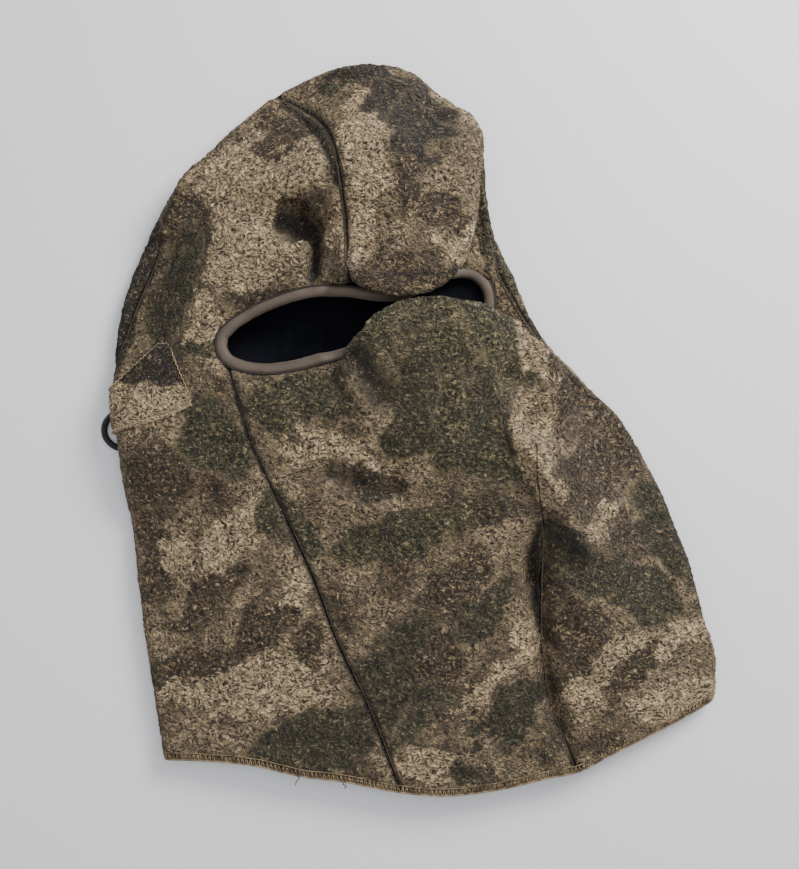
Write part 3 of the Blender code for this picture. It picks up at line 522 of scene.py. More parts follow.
def grid_normals(points, outward):
    """Normals of a grid of points; outward(points, normals) is positive where they point out."""
    across = np.gradient(points, axis=1)
    along = np.gradient(points, axis=0)
    normals = np.cross(across, along)
    normals /= np.linalg.norm(normals, axis=2)[:, :, None] + 1e-12
    return normals if outward(points, normals) > 0 else -normals


SEAM_LINES = {}


def lay_seam_lines():
    """The seams as lines over the lying skin, with how deep and wide a groove each pulls in the pile."""
    def over(table, first, last):
        p = smooth(table, np.linspace(first, last, 160))
        return lie(p, np.ones(len(p), bool))

    def back(table, left):
        stations = np.linspace(0, TIP, 260)
        rows = [row_places(s, left, smooth(table, s)[0]) for s in stations]
        return lie(np.concatenate([r[0] for r in rows]), np.concatenate([r[1] for r in rows]))

    SEAM_LINES.update({
        "front_left": (over(FRONT_SEAM_LEFT, 0, CHEEK), 2.2, 2.4),
        "front_right_low": (over(FRONT_SEAM_RIGHT, 0, 0.24), 2.8, 3.4),
        "front_right": (over(FRONT_SEAM_RIGHT, 0, CHEEK), 0.9, 1.6),
        "centre": (over(CENTRE_SEAM, BROW, 1.0), 2.9, 2.8),
        "back_left": (back(BACK_SEAM_LEFT, True), 2.0, 2.6),
        "back_right": (back(BACK_SEAM_RIGHT, False), 2.0, 2.6),
    })


def distance_to_line(points, line, cell=12.0):
    """Distance from each point to the nearest of a fine line's points, exact where it is short."""
    best = np.full(len(points), 1e3)
    for k in range(0, len(line), 40):
        part = line[k:k + 41]
        low, high = part.min(axis=0) - cell, part.max(axis=0) + cell
        near = np.all((points > low) & (points < high), axis=1)
        if not near.any():
            continue
        some = points[near]
        for start, end in zip(part[:-1], part[1:]):
            edge = end - start
            share = np.clip((some - start) @ edge / max(edge @ edge, 1e-9), 0, 1)
            far = np.linalg.norm(some - start - share[:, None] * edge, axis=1)
            best[near] = np.minimum(best[near], far)
    return best


# Creases pressed into the lying cloth as (depth, half width, line in the plan)
CREASES = [
    (15.0, 3.8, [(-82, 134), (-72, 130), (-64, 121), (-61, 108), (-63, 94), (-66, 86)]),
    (9.0, 9.0, [(-88, 130), (-76, 127), (-67, 115)]),
    (3.0, 9.0, [(-60, 130), (-56, 118), (-56, 104), (-58, 92)]),
    (4.0, 5.0, [(-90, 206), (-72, 192), (-60, 176), (-52, 156), (-48, 136)]),
    (14.0, 6.0, [(79, -56), (74, -66), (71, -82), (73, -104), (78, -130), (82, -162), (96, -205)]),
    (7.0, 8.0, [(86, -60), (78, -66), (74, -84), (77, -104)]),
    (6.5, 8.0, [(-62, -18), (-44, -30), (-24, -38), (-4, -36)]),
    (4.5, 7.0, [(-150, 124), (-164, 96), (-172, 68)]),
    (5.5, 8.0, [(48, 40), (62, 24), (70, 8), (72, -8)]),
    (7.0, 8.0, [(-44, 50), (-32, 36), (-22, 22), (-14, 8)]),
    (3.0, 9.0, [(104, 8), (112, -20), (122, -48)]),
]
RIDGES = [
    (11.0, 8.0, [(52, 8), (66, -10), (80, -30), (92, -52), (101, -72), (108, -84)]),
    (4.5, 5.5, [(-132, 170), (-150, 134), (-164, 100), (-176, 66)]),
    (3.0, 7.0, [(-70, -12), (-48, -20), (-22, -26)]),
    (4.0, 12.0, [(96, -84), (104, -120), (118, -160)]),
    (2.5, 12.0, [(30, -90), (36, -130), (44, -170)]),
]


def drape(points, normals):
    """Creases and ridges of the lying cloth, along its normals."""
    p = points.reshape(-1, 3)
    push = np.zeros(len(p))
    for depth, half, line in CREASES:
        far, _, along = nearest(p[:, :2], line)
        push -= depth * np.exp(-((far / half) ** 2)) * ease(along / 0.2) * ease((1 - along) / 0.15)
    for height, half, line in RIDGES:
        far, _, along = nearest(p[:, :2], line)
        push += height * np.exp(-((far / half) ** 2)) * ease(along / 0.2) * ease((1 - along) / 0.2)
    push += 1.4 * noise(p, 42, 3) + 0.8 * noise(p, 20, 4)
    upper = ease((normals.reshape(-1, 3)[:, 2] + 0.1) / 0.5)
    return (push * upper).reshape(points.shape[:2])


# Slack in the lining where it shows through the eye opening: (height, half width, line in the plan)
LINING_FOLDS = [
    (6.0, 2.6, [(-82, 70), (-81, 58), (-84, 44)]),
    (8.0, 3.4, [(-78, 68), (-66, 64), (-58, 56), (-62, 47), (-72, 44)]),
]


# ---------------------------------------------------------------- camouflage print


# Painted shade in creases and under overhanging folds, raised into the dark ink, as (strength, half width,
# line in the plan)
PAINTED_CREASE_SHADE = [
    (1.3, 2.8, [(-76, 131), (-67, 127), (-62, 117), (-61, 106), (-63, 95), (-66, 86)]),
    (0.5, 4.0, [(-44, 92), (-24, 90), (-4, 91), (12, 97)]),
    (0.9, 9.0, [(-88, 129), (-76, 125), (-69, 113)]),
    (0.9, 3.4, [(-90, 208), (-74, 196), (-60, 180), (-51, 160), (-46, 138)]),
    (0.9, 3.0, [(77, -58), (73, -68), (71, -82), (74, -106), (79, -132)]),
    (0.8, 7.0, [(78, -60), (90, -66), (104, -74)]),
    (0.8, 8.0, [(-46, 52), (-36, 40), (-27, 26), (-20, 12)]),
    (0.5, 9.0, [(-58, -20), (-40, -34), (-16, -42)]),
    (0.35, 7.0, [(84, -10), (98, -34), (110, -60)]),
]
# Blotches in the order they are printed, two of them painted shade: (ink, x, y, half length, half width, turn
# in degrees)
BLOTCHES = [
    ("sand", -32, 165, 56, 14, 86), ("sand", -104, 142, 48, 30, 50), ("sand", -96, 108, 34, 18, 20),
    ("sand", 24, 192, 22, 7, -60), ("brown", -78, 188, 26, 12, -25), ("brown", -88, 172, 16, 8, 30),
    ("brown", -150, 106, 46, 22, 75), ("deep", -150, 88, 38, 14, 75), ("dark", -182, 92, 60, 12, 80),
    ("sand", -128, 60, 24, 10, 90), ("olive", -130, 45, 9, 5, 0), ("olive", -52, 214, 14, 5, -40),
    ("dark", -26, 213, 30, 10, -20), ("dark", -6, 198, 24, 16, -14), ("dark", -2, 172, 28, 12, 95),
    ("dark", 200, -58, 18, 62, -8),
    ("brown", -5, 144, 20, 9, 80), ("brown", 9, 132, 10, 7, 60), ("sand", 14, 118, 14, 7, 40),
    # The brown blotch at (-14, 103) is partly print and partly painted shade under the crown's overhang.
    ("brown", -14, 103, 28, 6, 4), ("deep", 46, 130, 34, 8, 85),
    ("olive", -121, -6, 30, 21, -60), ("olive", -72, 18, 42, 17, 5), ("deep", -34, 34, 20, 11, 60),
    ("olive", 20, 34, 60, 32, -4), ("olive", 30, -2, 44, 26, -25), ("deep", -2, 0, 20, 11, 60),
    ("deep", 46, 2, 22, 10, -35), ("brown", 64, 28, 28, 10, -50), ("sand", 62, 24, 20, 7, -38),
    ("brown", 84, 10, 26, 12, -50), ("brown", 112, 4, 46, 18, -55), ("brown", 104, -28, 30, 20, -60),
    ("sand", 72, -18, 30, 8, -62), ("deep", 50, -44, 18, 9, -30), ("sand", -51, -14, 30, 10, -15),
    ("brown", -26, -34, 22, 9, 0), ("brown", 20, -54, 34, 10, 5), ("brown", -159, -25, 24, 22, 0),
    ("sand", -108, -62, 28, 14, 35), ("sand", -122, -72, 18, 12, 80), ("brown", -165, -84, 12, 34, 0),
    ("brown", -130, -104, 30, 10, 30), ("olive", -12, -66, 46, 13, 14), ("olive", -82, -54, 12, 16, 20),
    ("olive", -72, -70, 14, 12, -40), ("sand", -78, -104, 18, 12, 50), ("sand", -150, -78, 10, 14, 0),
    ("sand", -108, -160, 56, 20, -5), ("sand", -70, -144, 22, 11, 30), ("brown", -140, -146, 34, 11, 20),
    ("brown", -96, -122, 28, 12, 35), ("brown", -68, -134, 14, 12, 80), ("brown", 20, -100, 34, 16, 60),
    ("deep", 40, -112, 32, 13, 58), ("deep", -7, -158, 48, 28, 70), ("dark", -22, -176, 22, 10, 40),
    ("deep", -64, -195, 60, 18, 16), ("brown", 14, -140, 20, 14, 70), ("sand", 46, -152, 34, 7, 44),
    ("deep", 60, -176, 30, 14, 40), ("sand", 6, -206, 26, 8, 8), ("sand", 70, -122, 10, 6, -20),
    ("deep", 36, -209, 17, 7, 0), ("brown", 98, -128, 18, 26, 20), ("brown", 84, -86, 18, 24, 0),
    # The dark blotch at (92, -66) is painted shadow cast by the end of the ridge above it, not print.
    ("dark", 92, -66, 22, 9, -14), ("sand", 112, -152, 30, 8, 48), ("sand", 150, -130, 34, 10, 12),
    ("brown", 134, -148, 26, 11, 50), ("sand", 160, -170, 24, 12, 30), ("deep", 120, -92, 50, 17, -28),
    ("deep", 156, -66, 40, 15, -62), ("brown", 134, -66, 16, 9, -40), ("sand", 112, -58, 12, 7, 30),
]
# How much an ink hides of what is under it at the middle of a blotch
FULL_COVER = 0.9


def inks_and_painted_shade(cloth, lie_over=None):
    """How much of each ink the print puts at each place on the cloth, from 0 to 1, with painted shade raised
    into the dark ink along creases where lie_over is given.
    """
    flat = np.column_stack([cloth, np.zeros(len(cloth))])
    warp = np.column_stack([noise(flat, 26, a) * 12 + noise(flat, 10, a + 2) * 7 + noise(flat, 4, a + 4) * 3
                            for a in (11, 12)])
    p = cloth + warp
    names = ("olive", "brown", "dark", "sand")
    amounts = {name: np.zeros(len(p)) for name in names}
    amounts["brown"] = np.clip(0.30 + 0.9 * noise(flat, 30, 17) + 0.4 * noise(flat, 11, 18), 0, 1)
    for name, x, y, long, wide, turn in BLOTCHES:
        c, s = math.cos(math.radians(turn)), math.sin(math.radians(turn))
        u = ((p[:, 0] - x) * c + (p[:, 1] - y) * s) / long
        v = (-(p[:, 0] - x) * s + (p[:, 1] - y) * c) / wide
        cover = ease((1.2 - np.hypot(u, v)) / 0.42)
        for other in names:
            amounts[other] = amounts[other] * (1 - cover)
        for layer, share in {"deep": (("olive", 1.0), ("dark", 0.42))}.get(name, ((name, 1.0),)):
            amounts[layer] = np.maximum(amounts[layer], cover * share * FULL_COVER)
    # Painted shade: the dark ink is raised along creases and under overhangs, where shade falls.
    for strength, half, line in PAINTED_CREASE_SHADE if lie_over is not None else ():
        far, _, along = nearest(lie_over, line)
        closed = strength * np.exp(-((far / half) ** 2)) * ease(along / 0.12) * ease((1 - along) / 0.12)
        amounts["dark"] = np.maximum(amounts["dark"], closed)
    return np.column_stack([amounts[name] for name in names])


# ---------------------------------------------------------------- materials


def ink(hex_value):
    """A colour as linear red, green, blue and alpha, from its sRGB hex value."""
    parts = [int(hex_value[k:k + 2], 16) / 255 for k in (0, 2, 4)]
    return tuple(c / 12.92 if c <= 0.04045 else ((c + 0.055) / 1.055) ** 2.4 for c in parts) + (1.0,)


def feed(tree, node, **inputs):
    """Links or sets a node's inputs, each given by its name or, as in i0, by its number."""
    for key, value in inputs.items():
        numbered = key[0] == "i" and key[1:].isdigit()
        socket = node.inputs[int(key[1:]) if numbered else key.replace("_", " ")]
        if isinstance(value, bpy.types.NodeSocket):
            tree.links.new(value, socket)
        else:
            socket.default_value = value


def add(tree, kind, settings=None, **inputs):
    """One node with its settings and the sockets or values that its inputs take."""
    node = tree.nodes.new("ShaderNode" + kind)
    for key, value in (settings or {}).items():
        setattr(node, key, value)
    feed(tree, node, **inputs)
    return node


def new_material(name):
    """An empty node material and its Principled shader."""
    made = bpy.data.materials.new(name)
    made.use_nodes = True
    return made, made.node_tree, made.node_tree.nodes["Principled BSDF"]


def berber_fleece():
    """Knitted polyester berber: its loops are brushed into curly tufts 2 to 3 mm across, with no gloss and a
    camouflage print that frays at its edges. The pale curl tops and the dark gaps between them are painted
    highlight and painted shade, scaled into the colour from the curl height."""
    made, tree, skin = new_material("berber_fleece")
    at = add(tree, "TexCoord").outputs["Object"]
    sway = add(tree, "TexNoise", Vector=at, Scale=150.0, Detail=2.0).outputs["Color"]
    sway = add(tree, "VectorMath", {"operation": "MULTIPLY_ADD"}, i0=sway, i1=(0.009,) * 3, i2=at).outputs[0]
    drawn = add(tree, "VectorMath", {"operation": "MULTIPLY"}, i0=sway, i1=(0.55, 1.0, 0.8)).outputs[0]
    curls = add(tree, "TexNoise", Vector=drawn, Scale=740.0, Detail=2.0, Roughness=0.5).outputs["Fac"]
    gaps = add(tree, "TexNoise", Vector=sway, Scale=520.0, Detail=2.5, Roughness=0.5).outputs["Fac"]
    clumps = add(tree, "TexNoise", Vector=at, Scale=120.0, Detail=2.0).outputs["Fac"]
    fibre = add(tree, "TexNoise", Vector=sway, Scale=1500.0, Detail=2.0, Roughness=0.6).outputs["Fac"]
    fray = add(tree, "Math", {"operation": "ADD"}, i0=curls, i1=gaps)
    fray = add(tree, "Math", {"operation": "SUBTRACT"}, i0=fray.outputs[0], i1=1.0).outputs[0]
    # The print amounts; their dark ink also holds painted shade from creases, seams and overhangs.
    print_and_shade_amount = add(tree, "Attribute", {"attribute_name": "inks_and_painted_shade"})
    parts = add(tree, "SeparateColor", Color=print_and_shade_amount.outputs["Color"])
    amounts = {"olive": parts.outputs[0], "brown": parts.outputs[1], "dark": parts.outputs[2],
               "sand": print_and_shade_amount.outputs["Alpha"]}
    colour = ink("7b6a51")
    for which, tone in (("brown", "423623"), ("sand", "998567"), ("olive", "3b3821"), ("dark", "1a140a")):
        ragged = add(tree, "Math", {"operation": "MULTIPLY_ADD"}, i0=fray, i1=1.25,
                     i2=amounts[which]).outputs[0]
        edge = add(tree, "MapRange", i0=ragged, i1=0.22, i2=0.78)
        mix = add(tree, "Mix", {"data_type": "RGBA"}, i0=edge.outputs[0], i6=colour, i7=ink(tone))
        colour = mix.outputs[2]
    height = add(tree, "Math", {"operation": "MULTIPLY_ADD"}, i0=gaps, i1=0.9, i2=curls).outputs[0]
    height = add(tree, "Math", {"operation": "MULTIPLY_ADD"}, i0=fibre, i1=0.3, i2=height).outputs[0]
    height = add(tree, "Math", {"operation": "MULTIPLY_ADD"}, i0=clumps, i1=0.3, i2=height).outputs[0]
    curl = add(tree, "MapRange", i0=height, i1=0.98, i2=1.52, i3=0.0, i4=1.0).outputs[0]
    tip = add(tree, "MapRange", i0=curl, i1=0.4, i2=1.0, i3=0.0, i4=0.2).outputs[0]
    colour = add(tree, "Mix", {"data_type": "RGBA"}, i0=tip, i6=colour, i7=ink("917e64")).outputs[2]
    # Painted shade and painted highlight: the colour is scaled from dark in the gaps between curls to bright
    # on their tops.
    lit = add(tree, "Math", {"operation": "POWER"}, i0=curl, i1=1.55).outputs[0]
    lit = add(tree, "MapRange", i0=lit, i3=0.08, i4=2.62).outputs[0]
    shade = add(tree, "VectorMath", {"operation": "SCALE"}, i0=colour, Scale=lit).outputs[0]
    bump = add(tree, "Bump", Strength=1.0, Distance=0.0032, Height=curl)
    feed(tree, skin, Base_Color=shade, Roughness=1.0, Specular_IOR_Level=0.1, Sheen_Weight=0.08,
         Sheen_Roughness=0.6, Normal=bump.outputs[0])
    return made


def brushed_lining():
    """Polyester tricot with a short brushed nap: near black with a blue cast, soft and without gloss."""
    made, tree, skin = new_material("brushed_tricot_lining")
    at = add(tree, "TexCoord").outputs["Object"]
    nap = add(tree, "TexNoise", Vector=at, Scale=900.0, Detail=4.0).outputs["Fac"]
    cloud = add(tree, "TexNoise", Vector=at, Scale=60.0, Detail=3.0).outputs["Fac"]
    both = add(tree, "Math", {"operation": "MULTIPLY"}, i0=nap, i1=cloud).outputs[0]
    tone = add(tree, "MapRange", i0=both, i1=0.12, i2=0.4).outputs[0]
    mix = add(tree, "Mix", {"data_type": "RGBA"}, i0=tone, i6=ink("020308"), i7=ink("090b14"))
    bump = add(tree, "Bump", Strength=0.6, Distance=0.0003, Height=nap)
    feed(tree, skin, Base_Color=mix.outputs[2], Roughness=0.95, Specular_IOR_Level=0.15,
         Sheen_Weight=0.03, Sheen_Roughness=0.5, Normal=bump.outputs[0])
    return made


def stretch_tape():
    """Nylon and elastane fold-over tape: fine ribs run along it and it has a faint satin gloss."""
    made, tree, skin = new_material("stretch_binding_tape")
    along = add(tree, "UVMap").outputs[0]
    at = add(tree, "TexCoord").outputs["Object"]
    ribs = add(tree, "TexWave", {"bands_direction": "Y"}, Vector=along, Scale=520.0, Distortion=0.6,
               Detail=1.0).outputs["Fac"]
    cross = add(tree, "TexWave", {"bands_direction": "X"}, Vector=along, Scale=700.0,
                Distortion=0.8).outputs["Fac"]
    knit = add(tree, "Math", {"operation": "MULTIPLY"}, i0=ribs, i1=cross).outputs[0]
    worn = add(tree, "TexNoise", Vector=at, Scale=90.0, Detail=4.0).outputs["Fac"]
    tone = add(tree, "Math", {"operation": "MULTIPLY_ADD"}, i0=knit, i1=0.35, i2=worn).outputs[0]
    ramp = add(tree, "MapRange", i0=tone, i1=0.35, i2=0.9).outputs[0]
    mix = add(tree, "Mix", {"data_type": "RGBA"}, i0=ramp, i6=ink("3d332a"), i7=ink("584a3d"))
    bump = add(tree, "Bump", Strength=0.35, Distance=0.0003, Height=knit)
    feed(tree, skin, Base_Color=mix.outputs[2], Roughness=0.62, Sheen_Weight=0.1, Normal=bump.outputs[0])
    return made


def spun_thread(name, pale, dark):
    """Spun polyester thread: two plies twisted together, matt, its tone changing a little along it."""
    made, tree, skin = new_material(name)
    at = add(tree, "TexCoord").outputs["Object"]
    ply = add(tree, "TexNoise", Vector=at, Scale=1400.0, Detail=2.0).outputs["Fac"]
    tone = add(tree, "TexNoise", Vector=at, Scale=220.0, Detail=2.0).outputs["Fac"]
    ramp = add(tree, "MapRange", i0=tone, i1=0.35, i2=0.65).outputs[0]
    mix = add(tree, "Mix", {"data_type": "RGBA"}, i0=ramp, i6=ink(dark), i7=ink(pale))
    bump = add(tree, "Bump", Strength=0.5, Distance=0.0002, Height=ply)
    feed(tree, skin, Base_Color=mix.outputs[2], Roughness=0.8, Normal=bump.outputs[0])
    return made


def braided_elastic():
    """Round elastic cord with a braided polyester cover: black, its crossing strands just catch light."""
    made, tree, skin = new_material("braided_elastic_cord")
    uv = add(tree, "UVMap").outputs[0]
    one = add(tree, "TexWave", {"bands_direction": "DIAGONAL"}, Vector=uv, Scale=2.2).outputs["Fac"]
    turned = add(tree, "VectorMath", {"operation": "MULTIPLY"}, i0=uv, i1=(-1.0, 1.0, 1.0)).outputs[0]
    two = add(tree, "TexWave", {"bands_direction": "DIAGONAL"}, Vector=turned, Scale=2.2).outputs["Fac"]
    braid = add(tree, "Math", {"operation": "MAXIMUM"}, i0=one, i1=two).outputs[0]
    mix = add(tree, "Mix", {"data_type": "RGBA"}, i0=braid, i6=ink("08080a"), i7=ink("1c1c20"))
    bump = add(tree, "Bump", Strength=0.8, Distance=0.0004, Height=braid)
    feed(tree, skin, Base_Color=mix.outputs[2], Roughness=0.55, Normal=bump.outputs[0])
    return made


def moulded_acetal():
    """Moulded acetal: black with a fine spark-eroded grain and a low satin gloss."""
    made, tree, skin = new_material("moulded_acetal")
    at = add(tree, "TexCoord").outputs["Object"]
    grain = add(tree, "TexNoise", Vector=at, Scale=2600.0, Detail=2.0).outputs["Fac"]
    rub = add(tree, "TexNoise", Vector=at, Scale=160.0, Detail=4.0).outputs["Fac"]
    mix = add(tree, "Mix", {"data_type": "RGBA"}, i0=rub, i6=ink("0c0c0d"), i7=ink("202022"))
    gloss = add(tree, "MapRange", i0=rub, i1=0.3, i2=0.7, i3=0.38, i4=0.52).outputs[0]
    bump = add(tree, "Bump", Strength=0.25, Distance=0.0001, Height=grain)
    feed(tree, skin, Base_Color=mix.outputs[2], Roughness=gloss, Normal=bump.outputs[0])
    return made


def drawn_spring_wire():
    """Drawn steel wire: bright, with fine lines from the die along it."""
    made, tree, skin = new_material("drawn_spring_wire")
    at = add(tree, "TexCoord").outputs["Object"]
    lines = add(tree, "TexNoise", Vector=at, Scale=2000.0, Detail=2.0).outputs["Fac"]
    gloss = add(tree, "MapRange", i0=lines, i1=0.3, i2=0.7, i3=0.22, i4=0.4).outputs[0]
    feed(tree, skin, Base_Color=ink("b9bbbd"), Metallic=1.0, Roughness=gloss)
    return made


def woven_satin():
    """Blank woven polyester label: off-white satin with fine weft lines."""
    made, tree, skin = new_material("woven_satin_label")
    at = add(tree, "TexCoord").outputs["Object"]
    weft = add(tree, "TexWave", {"bands_direction": "Y"}, Vector=at, Scale=640.0, Distortion=0.3)
    mix = add(tree, "Mix", {"data_type": "RGBA"}, i0=weft.outputs["Fac"], i6=ink("b9b6ac"), i7=ink("dcdad2"))
    bump = add(tree, "Bump", Strength=0.3, Distance=0.0001, Height=weft.outputs["Fac"])
    feed(tree, skin, Base_Color=mix.outputs[2], Roughness=0.45, Normal=bump.outputs[0])
    return made


FINISH = {
    "fleece": berber_fleece(),
    "lining": brushed_lining(),
    "tape": stretch_tape(),
    "overlock": spun_thread("overlock_thread", "857356", "4a3d2b"),
    "seam": spun_thread("seam_thread", "3a3023", "211a12"),
    # A near-black strand for painted shadow in the gap at the binding tape's outer edge.
    "painted_gap_shadow": spun_thread("binding_gap_shadow", "241d16", "100c09"),
    "topstitch": spun_thread("tab_topstitch_thread", "a8946f", "7a6a4c"),
    "elastic": braided_elastic(),
    "acetal": moulded_acetal(),
    "wire": drawn_spring_wire(),
    "label": woven_satin(),
}


# ---------------------------------------------------------------- making pieces


def add_mesh(name, points, faces, finish, uv=None, amounts=None, sharp=None):
    """A mesh object from plan millimetres."""
    data = bpy.data.meshes.new(name)
    data.from_pydata(place(points), [], faces if isinstance(faces, list) else faces.tolist())
    if uv is not None:
        layer = data.uv_layers.new(name="UVMap")
        corners = np.zeros(len(data.loops), np.int32)
        data.loops.foreach_get("vertex_index", corners)
        layer.data.foreach_set("uv", np.asarray(uv, np.float32)[corners].ravel())
    if amounts is not None:
        layer = data.attributes.new("inks_and_painted_shade", "FLOAT_COLOR", "POINT")
        layer.data.foreach_set("color", np.asarray(amounts, np.float32).ravel())
    data.shade_smooth()
    if sharp:
        data.set_sharp_from_angle(angle=math.radians(sharp))
    data.materials.append(FINISH[finish])
    made = bpy.data.objects.new(name, data)
    bpy.context.scene.collection.objects.link(made)
    return made


def grid_faces(rows, columns, offset=0, flip=False, wrap=False):
    """Quads over a grid of points, as an array."""
    i = np.arange(rows - 1)[:, None] * columns
    j = np.arange(columns if wrap else columns - 1)[None, :]
    k = (j + 1) % columns
    a, b, c, d = i + j, i + k, i + columns + k, i + columns + j
    quads = np.stack([a, b, c, d] if not flip else [a, d, c, b], axis=-1).reshape(-1, 4)
    return quads + offset


def ring_faces(rings, sides, closed=True):
    """Faces of a tube of rings of points: its last ring joins the first, or both ends are capped."""
    last = (rings - 1) * sides
    if closed:
        ends = [[last + t, last + (t + 1) % sides, (t + 1) % sides, t] for t in range(sides)]
    else:
        ends = [list(range(sides))[::-1], [last + t for t in range(sides)]]
    return grid_faces(rings, sides, wrap=True).tolist() + ends


def face_out(made):
    """Turns every face of a closed mesh to point out of it."""
    bm = bmesh.new()
    bm.from_mesh(made.data)
    bmesh.ops.recalc_face_normals(bm, faces=bm.faces)
    bm.to_mesh(made.data)
    bm.free()


def slab(name, outer, inner, finish, amounts=None):
    """A closed sheet between two grids of points; the inner one may have every second point only."""
    rows, columns = outer.shape[:2]
    few_rows, few = inner.shape[:2]
    each = (rows - 1) // (few_rows - 1)
    n = rows * columns
    faces = np.concatenate([grid_faces(rows, columns), grid_faces(few_rows, few, n, True)]).tolist()
    sides = (
        (np.arange(columns), n + np.arange(few), False),
        (np.arange(rows) * columns + columns - 1, n + np.arange(few_rows) * few + few - 1, False),
        (np.arange(columns) + (rows - 1) * columns, n + np.arange(few) + (few_rows - 1) * few, True),
        (np.arange(rows) * columns, n + np.arange(few_rows) * few, True),
    )
    for over, under, turned in sides:
        over, under = over.tolist(), under.tolist()
        for k in range(len(under) - 1):
            wall = over[k * each:(k + 1) * each + 1][::-1] + [under[k], under[k + 1]]
            faces.append(wall[::-1] if turned else wall)
    points = np.concatenate([outer.reshape(-1, 3), inner.reshape(-1, 3)])
    if amounts is not None:
        below = amounts.reshape(rows, columns, 4)[::each, ::each].reshape(-1, 4)
        amounts = np.concatenate([amounts, below])
    made = add_mesh(name, points, faces, finish, amounts=amounts)
    face_out(made)
    return made


def pile(points, normals, calm):
    """Curly tufts standing out of the cloth; calm is 0 where the pile is flattened and 1 where it is free."""
    p = points.reshape(-1, 3)
    bend = np.column_stack([noise(p, 5.0, s) for s in (21, 22, 23)]) * 2.0
    curl = 1 - 2.2 * np.abs(noise(p + bend, TUFT * 1.5, 24))
    lumps = noise(p + bend, TUFT * 0.9, 25)
    height = TUFT_HEIGHT * (0.6 * curl + 0.55 * lumps) + 0.35 * noise(p, 8, 26)
    return points + normals * (height * calm).reshape(points.shape[:2])[:, :, None]


def cloth_place(p, top, back):
    """Where each point lies on the printed cloth, counted on round the fold, or on the back's own piece."""
    if back:
        return np.column_stack([35 - 0.94 * p[:, 0], 20 - 0.9 * p[:, 1]])
    step = np.array([[2.0, 0], [0, 2.0]])
    slope = np.column_stack([fold_distance(p + e) - fold_distance(p - e) for e in step]) / 4
    return np.where(top[:, None], p, p - 2 * np.clip(fold_distance(p), 0, None)[:, None] * slope)


def pressed_in(flat):
    """How deep seams, binding and hem pull the pile in at each point, and how free it stands there."""
    groove, calm = np.zeros(len(flat)), np.ones(len(flat))
    for line, depth, half in SEAM_LINES.values():
        far = distance_to_line(flat, line)
        groove += depth * np.exp(-((far / half) ** 2))
        calm = np.minimum(calm, 0.3 + 0.7 * ease(far / 3.0))
    by_rim = distance_to_line(flat, RIM_LINE)
    groove += 1.6 * np.exp(-((by_rim / 2.2) ** 2))
    by_hem = flat[:, 1] - hem_y(flat[:, 0])
    groove += 1.0 * np.exp(-((by_hem / 2.5) ** 2))
    calm = np.minimum(calm, 0.35 + 0.65 * ease(np.minimum(by_rim, by_hem) / 3.0))
    return groove, calm


def lining_panel(name, node, base, normals, to_peak, slack):
    """The smooth lining just inside the fleece, on every second point of its grid."""
    rows = np.arange(0, base.shape[0] - (9 if to_peak else 1), 2)
    columns = np.unique(np.append(np.arange(0, base.shape[1], 2), base.shape[1] - 1))
    some, ways = base[np.ix_(rows, columns)], normals[np.ix_(rows, columns)]
    near, deep = FLEECE + 1.4, FLEECE + 1.4 + LINING
    if slack:
        for height, half, line in LINING_FOLDS:
            far = nearest(some.reshape(-1, 3)[:, :2], line)[0].reshape(some.shape[:2])
            some = some - ways * (height * np.exp(-((far / half) ** 2)))[:, :, None]
    inside = slab(name, some - ways * near, some - ways * deep, "lining")
    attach(inside, "hood")
    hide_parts(node)


def fleece_panel(name, node, row, first, last, outward, lining_name, lining_node,
                 step=PILE_STEP, back=False):
    """One panel of curly fleece and the lining panel bonded to it."""
    points, p, top = even_grid(row, first, last, step)
    normals = steady(grid_normals(points, outward), points, p)
    quiet = ease((from_peak(p) - 10) / 24)
    bend = (drape(points, normals) * quiet.reshape(points.shape[:2]))[:, :, None]
    points = points + normals * bend
    normals = steady(grid_normals(points, outward), points, p)
    base = lie(p, top, whole=0.0).reshape(points.shape)
    base_normals = grid_normals(base, outward)
    steep = (top & (fold_distance(p) > EDGE_ROLL)).reshape(points.shape[:2]) & (base_normals[:, :, 2] < 0.35)
    base_normals[steep] = (0, 0, 1.0)
    base_normals = steady(base_normals, base, p)
    base = base + base_normals * np.minimum(bend, 0)
    flat = points.reshape(-1, 3)
    groove, calm = pressed_in(flat)
    groove, calm = groove * quiet, calm * quiet
    sunk = points - normals * groove.reshape(points.shape[:2])[:, :, None]
    outer = pile(sunk, normals, calm)
    outer[:, :, 2] = np.maximum(outer[:, :, 2], 0.0)
    inner = base - base_normals * (FLEECE + 1.2)
    inner[:, :, 2] = np.maximum(inner[:, :, 2], 0.6)
    amounts = inks_and_painted_shade(cloth_place(p, top, back), None if back else flat[:, :2])
    # Painted shade: the dark ink is raised along the deeper seams, where their grooves hold shade.
    deep_seams = [line for line, depth, _ in SEAM_LINES.values() if depth > 1]
    sewn = np.minimum.reduce([distance_to_line(flat, line) for line in deep_seams])
    amounts[:, 2] = np.maximum(amounts[:, 2], 0.9 * np.exp(-((sewn / 2.0) ** 2)))
    made = slab(name, outer, inner[::2, ::2], "fleece", amounts)
    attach(made, "hood")
    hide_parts(node)
    lining_panel(lining_name, lining_node, base, base_normals, last == TIP, back)


def top_out(points, normals):
    """Positive if the normals point out of the hood's top side."""
    return normals[:, -points.shape[1] // 3:, 2].mean()


def under_out(points, normals):
    """Positive if the normals point out of the hood's underside."""
    middle = points.shape[1] // 2
    return -normals[:, middle - 5:middle + 5, 2].mean()


